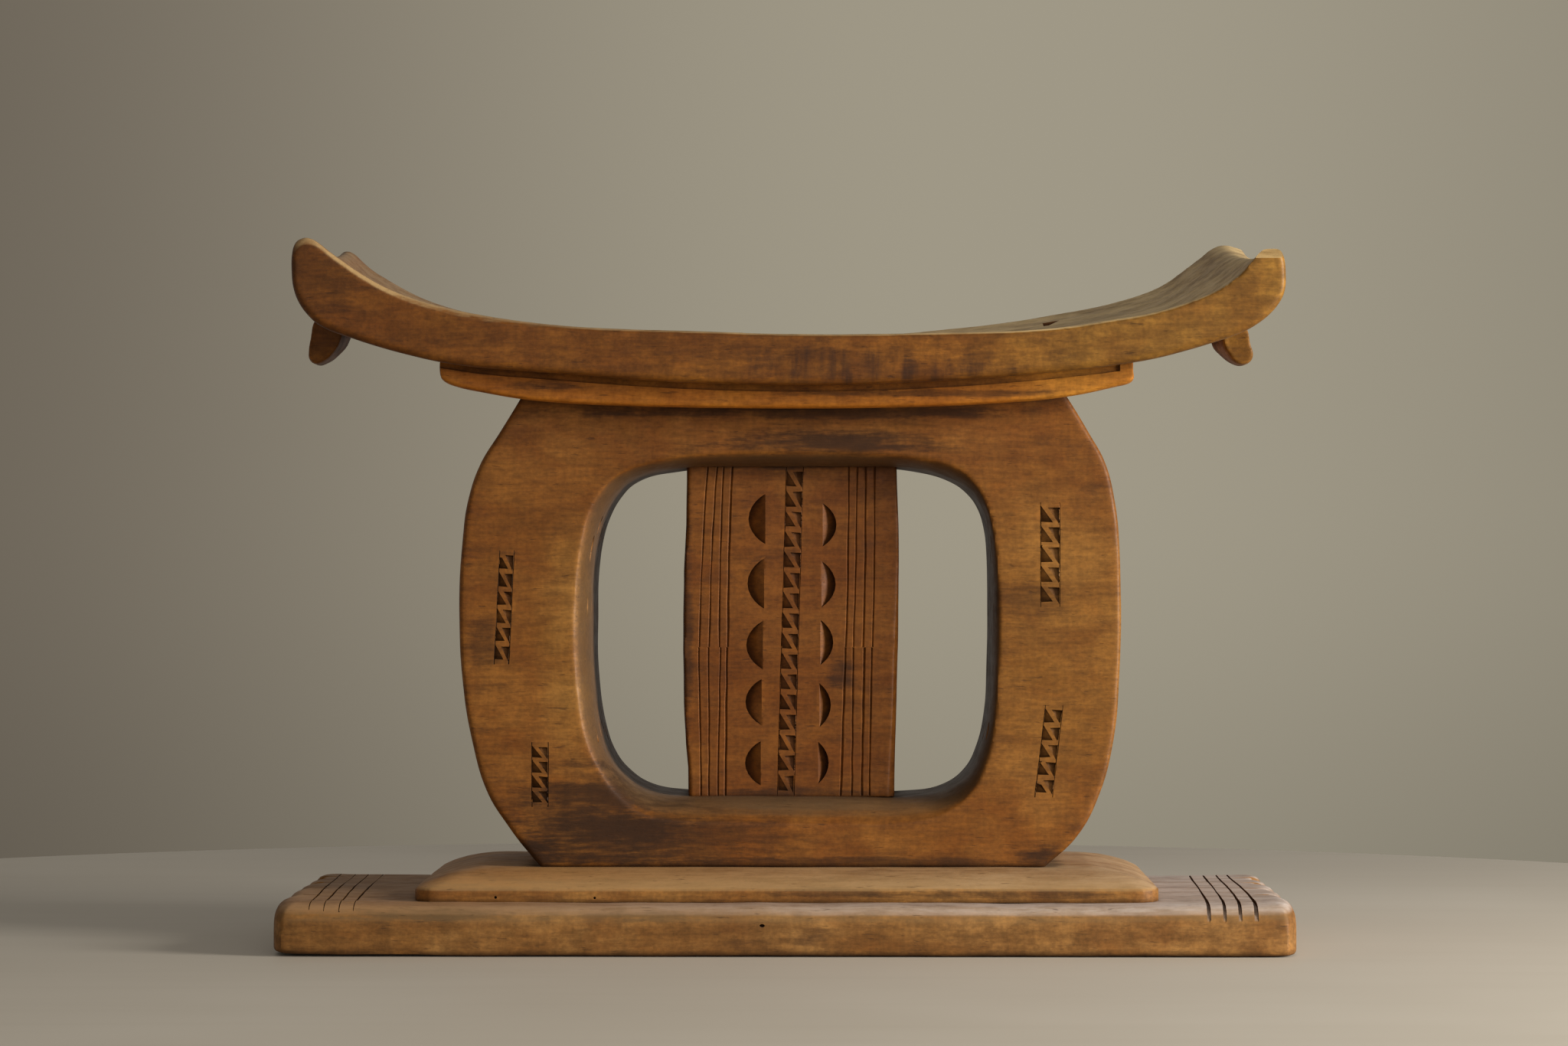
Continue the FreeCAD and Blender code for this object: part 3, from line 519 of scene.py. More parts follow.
def make_ring():
    def outer(y, inset):
        def place(x, z):
            return (2 + (x - 2) * (1 - inset / 150.0), y, 155 + (z - 155) * (1 - inset / 125.0))

        return drawn_line(RING_OUTER, place, RING_CORNERS)

    def opening(y, share):
        points = [(x, z, u, v) for (x, z), (u, v) in zip(RING_WAIST, RING_MOUTH)]
        return drawn_line(points, lambda x, z, u, v: (mix(x, u, share), y, mix(z, v, share)))

    end = 76.0
    steps = [end, 62.0, 48.0, 34.0, 20.0, 8.0]

    def flare(angle, side):
        lean = math.radians(angle)
        y = RING_WAIST_HALF + (RING_HALF - RING_WAIST_HALF) * math.sin(lean) / math.sin(math.radians(end))
        return opening(side * y, (1 - math.cos(lean)) / (1 - math.cos(math.radians(end))))

    loops = [outer(-58.0, 0.0), outer(-59.6, 0.7), outer(-60.0, 2.2)]
    loops += [flare(angle, -1) for angle in steps]
    loops += [opening(-RING_WAIST_HALF, 0.0), opening(RING_WAIST_HALF, 0.0)]
    loops += [flare(angle, 1) for angle in reversed(steps)]
    loops += [outer(60.0, 2.2), outer(59.6, 0.7), outer(58.0, 0.0)]
    ring = settle(skin(loops, closed=True), "ring_wood")
    hew(ring, 1.3, 3, 0.8, 38.0, 3, keep=0.38)

    def face(z):
        return -RING_HALF

    cutters = []
    for middle, top, width, pitch, count, lean in [
        (-137.9, 195.5, 7.0, 9.0, 6, 2.8), (-121.5, 100.5, 7.9, 7.4, 4, 0.0),
        (131.1, 219.2, 9.2, 9.85, 5, 0.0), (133.0, 119.0, 8.4, 8.65, 5, 6.7),
    ]:
        cutters += zigzag_band(middle, top, width, pitch, count, lean, face, 2.8)
    carve(ring, cutters)

    # long shallow chisel marks on the inner sides of the opening
    pairs = list(zip(RING_WAIST, RING_MOUTH))
    marks = []
    for part in (pairs[7:16], pairs[23:] + pairs[:1]):
        wall = sorted((waist[1], waist[0], mouth[0]) for waist, mouth in part)
        for number in range(CHISEL_ROWS * CHISEL_COLUMNS):
            row, column = divmod(number, CHISEL_COLUMNS)
            y = -48.0 + 8.5 * column + chance.uniform(-0.8, 0.8)
            z = 111.0 + 28.0 * row + (column % 2) * 9.0 + chance.uniform(-1.5, 1.5)
            below, above = next((a, b) for a, b in zip(wall, wall[1:]) if z <= b[0])
            along = (z - below[0]) / (above[0] - below[0])
            lean = math.asin(max(0.0, (abs(y) - RING_WAIST_HALF) / (RING_HALF - RING_WAIST_HALF)))
            waist_x = mix(below[1], above[1], along)
            mouth_x = mix(below[2], above[2], along)
            x = mix(waist_x, mouth_x, 1.32 * (1 - math.cos(lean)))
            out = 1 if x > 0 else -1
            bpy.ops.mesh.primitive_uv_sphere_add(segments=12, ring_count=8, radius=1.0, location=(
                (x - out * chance.uniform(1.35, 1.6)) * MM, y * MM, z * MM))
            mark = bpy.context.object
            mark.scale = Vector((1.9, chance.uniform(1.6, 3.2), chance.uniform(7.0, 12.0))) * MM
            mark.rotation_euler = (chance.uniform(-0.05, 0.05), 0, 0)
            bpy.ops.object.transform_apply(location=True, rotation=True, scale=True)
            marks.append(mark)
    carve(ring, marks)
    finish_piece(ring, "ring_wood", "ring", "ring_wood")


# Centre panel
# Its sides from the top down: height, x
PANEL_LEFT = [
    (239.4, -49.6), (210.0, -49.9), (186.0, -51.2), (148.0, -51.6), (120.0, -51.2), (100.0, -50.2),
    (88.0, -49.0), (73.4, -48.7),
]
PANEL_RIGHT = [
    (239.4, 55.4), (210.0, 56.5), (186.0, 56.7), (148.0, 56.2), (120.0, 55.4), (100.0, 54.9),
    (88.0, 54.6), (73.4, 54.4),
]
# How far the front face's right edge is worn back at those heights
PANEL_EDGE_WEAR = [0.4, 0.4, 0.8, 1.9, 2.0, 2.4, 3.0, 3.4]


def panel_face(z):
    """Depth of the panel's front face at a height: its two halves meet in a faint ridge."""
    return -35.0 - 1.1 * (1 - min(1.0, abs(z - 148.0) / 60.0))


def make_panel():
    panel = block((-50.0, -35.0, PANEL_LEFT[-1][0]), (55.0, 35.0, PANEL_LEFT[0][0]))
    heights = [height for height, x in PANEL_LEFT]
    for height in heights[1:-1]:
        saw(panel, (0, 0, height), (0, 0, 1))
    saw(panel, (-30.0, 0, 0), (1, 0, 0))
    saw(panel, (35.0, 0, 0), (1, 0, 0))
    saw(panel, (0, -31.5, 0), (0, 1, 0))
    for (height, left), (_, right), wear in zip(PANEL_LEFT, PANEL_RIGHT, PANEL_EDGE_WEAR):
        def at(p, height=height):
            return abs(p.z - height) < 0.5

        shift(panel, lambda p: at(p) and p.x < -45, (left + 50.0, 0, 0))
        shift(panel, lambda p: at(p) and p.x > 50, (right - 55.0, 0, 0))
        shift(panel, lambda p: at(p) and p.x < -45 and p.y < -34, (1.0, 0, 0))
        shift(panel, lambda p: at(p) and p.x > 49 and p.y < -34, (-wear, 0, 0))
        shift(panel, lambda p: at(p) and p.y < -34, (0, panel_face(height) + 35.0, 0))
    settle(panel, "centre_panel_wood")
    hew(panel, 0.8, 2, 0.45, 26.0, 4, keep=0.5)

    cutters = []
    score_lines = [
        (-39.0, -43.2, -42.4), (-34.4, -38.4, -38.4), (-31.1, -33.3, -34.0), (-26.7, -29.0, -30.2),
        (31.5, 30.0, 27.5), (35.7, 33.7, 32.9), (39.9, 38.7, 37.9), (44.5, 43.3, 41.8),
    ]
    for number, (top, middle, foot) in enumerate(score_lines):
        upper, lower = [], []
        offset = chance.uniform(-0.5, 0.5)
        for step in range(9):
            z = mix(238.8, 148.4, step / 8)
            bow = 1.2 * math.sin(math.pi * step / 8) * (-1 if top < 0 else 1)
            x = mix(top, middle, (step / 8) ** 0.8) + bow * 0.35 + chance.uniform(-0.15, 0.15)
            upper.append((x, panel_face(z), z))
            z = mix(148.2, 74.0, step / 8)
            x = mix(middle + offset, foot, step / 8) + chance.uniform(-0.18, 0.18)
            lower.append((x, panel_face(z), z))
        width = chance.uniform(1.2, 1.6)
        cutters.append(scored_line(upper, width, 0.8, width * 0.56))
        cutters.append(scored_line(lower, width * 1.08, 0.8, width * 0.62))
    carve(panel, cutters)

    cutters = []
    moons = [
        (-10.2, -18.7, 212.4, 25.0), (-10.8, -19.2, 180.1, 25.0), (-11.4, -19.8, 149.3, 24.0),
        (-12.0, -20.2, 120.8, 23.0), (-12.5, -20.4, 90.2, 22.0), (18.5, 25.4, 209.5, 21.5),
        (17.9, 25.0, 179.8, 23.0), (17.3, 23.8, 150.7, 22.6), (16.8, 22.6, 119.3, 22.0),
        (16.2, 21.5, 90.5, 21.0),
    ]
    for straight, curved, z, height in moons:
        y = panel_face(z)
        outline, floor = [(straight, z + height / 2), (straight, z - height / 2)], [y + 0.1, y + 0.1]
        for step in range(1, 12):
            up = -math.cos(math.pi * step / 12)
            wide = abs(curved - straight)
            radius = (height ** 2 / 4 + wide ** 2) / (2 * wide)
            arc = (math.sqrt(radius ** 2 - (up * height / 2) ** 2) - radius + wide) / wide
            bulge = mix(arc, 1 - up ** 2, 0.4)
            outline.append((mix(straight, curved, bulge), z + up * height / 2))
            floor.append(y + 0.5 + 4.6 * bulge ** 0.7)
        cutters.append(gouge(outline, y - 2.5, floor))
    carve(panel, cutters)

    band = zigzag_band(4.5, 237.6, 8.2, 10.15, 16, 1.6, panel_face, 2.7)
    carve(panel, band)
    finish_piece(panel, "centre_panel_wood", "centre_panel", "ring_wood")


# Plinth
PLINTH_LEFT = -181.4
PLINTH_RIGHT = 183.0
PLINTH_HALF_WIDTH = 182.0
PLINTH_HALF_DEPTH = 95.0
PLINTH_FOOT = 24.4
PLINTH_WALL = 7.2
PLINTH_CORNER = 11.0
# The slope of its top: how far in from the wall, and how much higher than the step before
PLINTH_STEPS = [(2.0, 1.0), (7.0, 2.3), (14.0, 2.2), (21.0, 1.6), (27.0, 0.9), (31.0, 0.4)]


def make_plinth():
    plinth = block((PLINTH_LEFT, -PLINTH_HALF_DEPTH, PLINTH_FOOT),
                   (PLINTH_RIGHT, PLINTH_HALF_DEPTH, PLINTH_FOOT + PLINTH_WALL))
    only(plinth)
    bpy.ops.object.mode_set(mode="EDIT")
    bpy.ops.mesh.select_mode(type="EDGE")
    bpy.ops.mesh.select_all(action="DESELECT")
    bpy.ops.object.mode_set(mode="OBJECT")
    for edge in plinth.data.edges:
        first, last = (plinth.data.vertices[i].co for i in edge.vertices)
        edge.select = abs(first.z - last.z) > 1 * MM
    bpy.ops.object.mode_set(mode="EDIT")
    bpy.ops.mesh.bevel(offset=PLINTH_CORNER * MM, segments=6)
    bpy.ops.mesh.select_mode(type="FACE")
    bpy.ops.mesh.select_all(action="DESELECT")
    bpy.ops.object.mode_set(mode="OBJECT")
    for face in plinth.data.polygons:
        face.select = face.normal.z > 0.9
    bpy.ops.object.mode_set(mode="EDIT")
    inset_before = 0.0
    for inset, rise in PLINTH_STEPS:
        step = inset - inset_before
        inset_before = inset
        bpy.ops.mesh.extrude_region_move(TRANSFORM_OT_translate={"value": (0, 0, rise * MM)})
        half_x = PLINTH_HALF_WIDTH - inset + step
        half_y = PLINTH_HALF_DEPTH - inset + step
        bpy.ops.transform.resize(value=((half_x - step) / half_x, (half_y - step) / half_y, 1))
    bpy.ops.object.mode_set(mode="OBJECT")
    settle(plinth, "plinth_wood")
    hew(plinth, 1.15, 2, 0.5, 34.0, 5, keep=0.38)
    carve(plinth, [worm_hole(x, -PLINTH_HALF_DEPTH, z, radius, radius * 0.6, 8, 10)
                   for x, z, radius in [(-141.0, 27.4, 0.9), (-92.6, 27.2, 0.8)]])
    finish_piece(plinth, "plinth_wood", "plinth", "plank_wood")


# Base plank
SCALLOP_SHARES = [0.26, 0.2, 0.18, 0.18, 0.18]
PLANK_END_HALF = 113.8
PLANK_SIDE = 114.4
PLANK_NOTCH = 243.8
LOBE_BULGE = 5.8
# One lobe: share of its width, share of its bulge
LOBE = [(0.0, 0.0), (0.12, 0.66), (0.34, 0.96), (0.6, 1.0), (0.86, 0.72)]


def plank_outline():
    """Round the plank in plan: long straight sides, and five shallow scallops across each end."""
    def end(side):
        points, corners = [], []
        y = -PLANK_END_HALF
        for share in SCALLOP_SHARES:
            width = share * (2 * PLANK_END_HALF)
            corners.append(len(points))
            for along, out in LOBE:
                points.append((side * (PLANK_NOTCH + LOBE_BULGE * out), y + along * width))
            y += width
        corners.append(len(points))
        points.append((side * PLANK_NOTCH, PLANK_END_HALF))
        return points, corners

    right, right_corners = end(1)
    left, left_corners = end(-1)
    left = left[::-1]
    left_corners = [len(left) - 1 - corner for corner in left_corners]
    points = [(x, -PLANK_SIDE) for x in (-236.0, -150.0, -50.0, 50.0, 150.0, 236.0)]
    corners = [len(points) + corner for corner in right_corners]
    points += right
    points += [(x, PLANK_SIDE) for x in (236.0, 150.0, 50.0, -50.0, -150.0, -236.0)]
    corners += [len(points) + corner for corner in left_corners]
    points += left
    return points, corners


def saw_blade(front, back, stop, wide):
    """Cutter for one groove across the plank: thin at the back, wide where it runs out over the front edge.

    stop: how low the groove runs down the front edge.
    """
    floor = [(-118.0, stop - 1.6), (-114.8, stop)]
    for y, z in [
        (-113.4, 17.6), (-111.6, 20.0), (-108.6, 21.7), (-104.5, 22.9), (-99.0, 23.6), (-90.0, 24.0),
        (-50.0, 24.2), (0.0, 24.3), (60.0, 24.3), (100.0, 24.0), (112.0, 21.0), (118.0, 16.0),
    ]:
        floor.append((y, max(z, stop) if y < 0 else z))
    outline = floor + [(y, 32.0) for y in (118.0, 60.0, 0.0, -60.0, -118.0)]
    bow = chance.uniform(2.4, 3.4) * (1 if front > 0 else -1)
    points = []
    for y, z in outline:
        along = min(1.0, max(0.0, (y + 115) / 230.0))
        x = front + (back - front) * along ** 1.6 + 0.6 * bow * math.sin(math.pi * along)
        points.append((x, y, z))
    blade = flat_face(points)
    draw_out(blade, [(0.7, 0, 0)])
    # the far side of the blade leans out towards the front, and runs to a point at its foot
    for vertex in list(blade.data.vertices)[len(outline):]:
        y, z = vertex.co.y / MM, vertex.co.z / MM
        lean = wide * (0.2 + max(0.0, (-y - 40.0) / 75.0))
        if z > stop + 0.2:
            vertex.co.x += lean * MM
        else:
            vertex.co.x -= 0.4 * MM
    return blade


def notch_wedge(side, y, spread, reach):
    """Upright V-shaped cutter between two lobes of the plank's end; its edge leans inwards at the top."""
    corners = [(side * 256.0, y - spread), (side * 256.0, y + spread), (side * (249.5 - reach), y)]
    wedge = flat_face([(x, across, -6.0) for x, across in corners])
    draw_out(wedge, [(0, 0, 40)])
    shift(wedge, lambda p: p.z > 0 and abs(p.x) < 253, (-side * 16.0, 0, 0))
    return wedge


def make_plank():
    points, corners = plank_outline()

    def plank_place(z, inset):
        def place(x, y):
            warp = 1.3 * max(0.0, (abs(x) - 190.0) / 60.0) ** 2
            low = 1.2 * max(0.0, (-x - 200.0) / 50.0) ** 2
            lift = mix(low, warp, z / 25.0)
            return (x * (1 - 0.45 * inset / 250.0), y * (1 - inset / 115.0), z + lift)

        return place

    levels = [
        (0.4, 1.8), (1.0, 0.6), (2.8, 0.0), (10.0, 0.0), (14.5, 0.2), (17.4, 0.8), (20.0, 2.0),
        (22.2, 4.4), (23.8, 8.0), (24.6, 12.5), (24.9, 18.0),
    ]
    loops = [drawn_line(points, plank_place(*level), corners, steps=3) for level in levels]
    plank = settle(skin(loops), "base_plank_wood")
    hew(plank, 1.25, 3, 0.8, 36.0, 6, keep=0.36)

    cutters = []
    for front, back, stop, wide in [
        (-230.6, -236.6, 22.4, 0.4), (-223.4, -228.6, 21.8, 0.35), (-216.0, -221.8, 21.4, 0.45),
        (-209.0, -213.8, 21.9, 0.4), (204.6, 211.2, 15.6, 1.0), (212.4, 218.2, 15.2, 0.8),
        (219.8, 224.9, 15.6, 0.9), (227.4, 230.4, 15.4, 1.15),
    ]:
        cutters.append(saw_blade(front, back, stop, wide))
    for side in (-1, 1):
        y = -PLANK_END_HALF
        for share in SCALLOP_SHARES[:-1]:
            y += share * (2 * PLANK_END_HALF)
            cutters.append(notch_wedge(side, y + chance.uniform(-1.0, 1.0), 5.0, chance.uniform(5.4, 7.0)))
    wide_hole = worm_hole(-10.6, -115, 15.2, 1.0, 0.7, 9, 14)
    wide_hole.scale = (1.6, 1.0, 1.0)
    cutters.append(settle(wide_hole, "wide worm hole"))
    carve(plank, cutters)
    finish_piece(plank, "base_plank_wood", "base_plank", "plank_wood")


# Wood finishes
def feed(tree, socket, value):
    """Links the value to the socket if it is a socket itself, and else sets it."""
    if isinstance(value, bpy.types.NodeSocket):
        tree.links.new(value, socket)
    else:
        socket.default_value = value


def put(tree, kind, values=None, **settings):
    """Adds a node with these settings, and feeds each of its named inputs."""
    node = tree.nodes.new(kind)
    for key, value in settings.items():
        setattr(node, key, value)
    for key, value in (values or {}).items():
        feed(tree, node.inputs[key], value)
    return node


def new_group(name, inputs, outputs):
    """An empty shader node group. An input has its usual value, or None for a place that is linked."""
    tree = bpy.data.node_groups.new(name, "ShaderNodeTree")
    for label, value in inputs.items():
        kind = "NodeSocketFloat" if isinstance(value, float) else "NodeSocketVector"
        socket = tree.interface.new_socket(name=label, in_out="INPUT", socket_type=kind)
        if value is not None:
            socket.default_value = value
    for label in outputs:
        tree.interface.new_socket(name=label, in_out="OUTPUT", socket_type="NodeSocketFloat")
    return tree, tree.nodes.new("NodeGroupInput").outputs, tree.nodes.new("NodeGroupOutput").inputs


def give_out(tree, out, values):
    """Links each value to the group's output of that name."""
    for label, value in values.items():
        tree.links.new(value, out[label])


def maths(tree, operation, first, second=0.0, clamp=False):
    values = {0: first, 1: second}
    return put(tree, "ShaderNodeMath", values, operation=operation, use_clamp=clamp).outputs[0]


def times(tree, first, second):
    return maths(tree, "MULTIPLY", first, second)


def vector_maths(tree, operation, first, second, output="Vector"):
    values = {0: first, 1: second}
    return put(tree, "ShaderNodeVectorMath", values, operation=operation).outputs[output]


def span(tree, value, low, high, to_low=0.0, to_high=1.0):
    """The value between low and high, as a smooth step between two other numbers."""
    values = {"Value": value, "From Min": low, "From Max": high, "To Min": to_low, "To Max": to_high}
    return put(tree, "ShaderNodeMapRange", values, interpolation_type="SMOOTHSTEP").outputs[0]


def noise(tree, place, scale, detail=3.0, rough=0.5, twist=0.0):
    values = {"Vector": place, "Scale": scale, "Detail": detail, "Roughness": rough, "Distortion": twist}
    return put(tree, "ShaderNodeTexNoise", values).outputs["Fac"]


def stretched(tree, place, stretch, shift_by=(0, 0, 0), turn=(0, 0, 0)):
    values = {"Vector": place, "Scale": stretch, "Location": shift_by, "Rotation": turn}
    return put(tree, "ShaderNodeMapping", values).outputs[0]


def blend(tree, share, under, over, kind="MIX"):
    node = put(tree, "ShaderNodeMix", data_type="RGBA", blend_type=kind)
    feed(tree, node.inputs["Factor"], share)
    feed(tree, node.inputs[6], under)
    feed(tree, node.inputs[7], over)
    return node.outputs[2]


def grain_group():
    """Short fine fibres along the block, crossed faintly, with small pores and soft figure across them."""
    tree, given, out = new_group("wood grain", {"Place": None},
                                 ["Streaks", "Fibres", "Cross", "Ripple", "Dashes"])
    wander = put(tree, "ShaderNodeTexNoise", {"Vector": given["Place"], "Scale": 9.0, "Detail": 2.0})
    drift = vector_maths(tree, "SUBTRACT", wander.outputs["Color"], (0.5, 0.5, 0.5))
    little = put(tree, "ShaderNodeVectorMath", {0: drift, "Scale": 0.008}, operation="SCALE").outputs[0]
    place = vector_maths(tree, "ADD", given["Place"], little)
    streaks = noise(tree, stretched(tree, place, (13.0, 60.0, 110.0)), 1.0, 5.0, 0.62)
    fibres = noise(tree, stretched(tree, place, (70.0, 420.0, 560.0)), 1.0, 3.0, 0.62)
    cross = noise(tree, stretched(tree, place, (420.0, 90.0, 60.0)), 1.0, 2.0, 0.6)
    ripple = noise(tree, stretched(tree, place, (125.0, 9.0, 26.0)), 1.0, 3.0, 0.55, 0.3)
    dashes = noise(tree, stretched(tree, place, (130.0, 600.0, 800.0), (2.0, 1.0, 5.0)), 1.0, 2.0, 0.5)
    give_out(tree, out, {"Streaks": streaks, "Fibres": fibres, "Cross": cross, "Ripple": ripple,
                         "Dashes": span(tree, dashes, 0.64, 0.76)})
    return tree


def patina_group():
    """Blotches of handling: broad clouds, redder zones, small mottling and rubbed-in dark smudges."""
    tree, given, out = new_group("handled patina", {"Place": None, "Streaks": 0.5},
                                 ["Clouds", "Red", "Mottle", "Speckle", "Smudge"])
    place = given["Place"]
    clouds = noise(tree, stretched(tree, place, (15.0, 15.0, 22.0)), 1.0, 5.0, 0.6, 0.3)
    red = noise(tree, stretched(tree, place, (24.0, 24.0, 40.0), (4.0, 2.0, 1.0)), 1.0, 5.0, 0.62, 0.4)
    mottle = noise(tree, stretched(tree, place, (85.0, 85.0, 130.0)), 1.0, 5.0, 0.66)
    speckle = noise(tree, stretched(tree, place, (420.0, 420.0, 560.0)), 1.0, 3.0, 0.6)
    smudge = noise(tree, stretched(tree, place, (30.0, 30.0, 90.0), (3.1, 0.7, 1.9)), 1.0, 6.0, 0.7, 0.2)
    rubbed = maths(tree, "ADD", smudge, times(tree, given["Streaks"], 0.3))
    give_out(tree, out, {"Clouds": span(tree, clouds, 0.32, 0.68), "Red": span(tree, red, 0.42, 0.66),
                         "Mottle": span(tree, mottle, 0.34, 0.68), "Speckle": speckle,
                         "Smudge": span(tree, rubbed, 0.7, 0.92)})
    return tree


def wear_grime_shade_group():
    """Rubbed pale edges, grime together with painted shade in the hollows and in the seams between pieces
    (from ambient occlusion), and the dry grey of faces that look up.
    """
    tree, given, out = new_group(
        "wear, grime and shade", {"Place": None, "Edge Low": 0.52, "Edge High": 0.62, "Reach": 0.009},
        ["Edges", "Grime And Shade", "Upward", "Shoulder"],
    )
    seen = tree.nodes.new("ShaderNodeNewGeometry")
    broken = noise(tree, stretched(tree, given["Place"], (60.0, 60.0, 60.0)), 1.0, 4.0, 0.6)
    sharp = span(tree, seen.outputs["Pointiness"], given["Edge Low"], given["Edge High"])
    edges = times(tree, sharp, span(tree, broken, 0.25, 0.6))
    # Ambient occlusion: darker in hollows, grooves and seams, partly grime and partly painted shade
    hollow = put(tree, "ShaderNodeAmbientOcclusion", {"Distance": given["Reach"]}, samples=8)
    shut = maths(tree, "SUBTRACT", 1.0, hollow.outputs["AO"])
    dirt_and_shade = times(tree, shut, span(tree, broken, 0.2, 0.65, 0.55, 1.25))
    normal = put(tree, "ShaderNodeSeparateXYZ", {0: seen.outputs["Normal"]})
    forward = times(tree, normal.outputs["Y"], -1.0)
    shoulder = times(tree, normal.outputs["Z"], forward)
    give_out(tree, out, {"Edges": edges, "Grime And Shade": span(tree, dirt_and_shade, 0.22, 0.75),
                         "Upward": span(tree, normal.outputs["Z"], 0.45, 0.95),
                         "Shoulder": span(tree, shoulder, 0.1, 0.38)})
    return tree


def soft_patch_group():
    """A soft patch round a centre, broken up by the streaks of the wood: the mask of dark smudges, of
    painted shade at seams and of painted light.
    """
    tree, given, out = new_group("soft patch mask", {"Place": None, "Centre": None, "Stretch": None,
                                                     "Break": 0.5}, ["Patch"])
    away = vector_maths(tree, "SUBTRACT", given["Place"], given["Centre"])
    scaled = vector_maths(tree, "DIVIDE", away, given["Stretch"])
    length = put(tree, "ShaderNodeVectorMath", {0: scaled}, operation="LENGTH").outputs["Value"]
    near = span(tree, length, 1.0, 0.15)
    edge = maths(tree, "ADD", near, times(tree, given["Break"], 0.85))
    patch = times(tree, span(tree, edge, 0.55, 1.5), span(tree, near, 0.0, 0.4))
    tree.links.new(patch, out["Patch"])
    return tree


def inside(tree, group, values):
    """Places the group in the tree, and gives its outputs."""
    return put(tree, "ShaderNodeGroup", values, node_tree=group).outputs


def hollow_side_group():
    """How far a face looks in towards the middle of the ring's opening."""
    tree, given, out = new_group("inner side", {"Place": None, "Middle": (0.003, 0.0, 0.155)}, ["Inner"])
    seen = tree.nodes.new("ShaderNodeNewGeometry")
    way = vector_maths(tree, "SUBTRACT", given["Middle"], given["Place"])
    flat = vector_maths(tree, "MULTIPLY", way, (1.0, 0.0, 1.0))
    aim = put(tree, "ShaderNodeVectorMath", {0: flat}, operation="NORMALIZE").outputs[0]
    facing = vector_maths(tree, "DOT_PRODUCT", aim, seen.outputs["Normal"], "Value")
    tree.links.new(span(tree, facing, 0.55, 0.95), out["Inner"])
    return tree


GRAIN = grain_group()
PATINA = patina_group()
WEAR_GRIME_SHADE = wear_grime_shade_group()
PATCH = soft_patch_group()
INNER = hollow_side_group()


# What a patch of painted light is multiplied by, and the colour of a shoulder rubbed pale
PAINTED_LIGHT_TINT = (1.5, 2.05, 2.9, 1)
RUBBED_PALE = (0.42, 0.27, 0.12, 1)


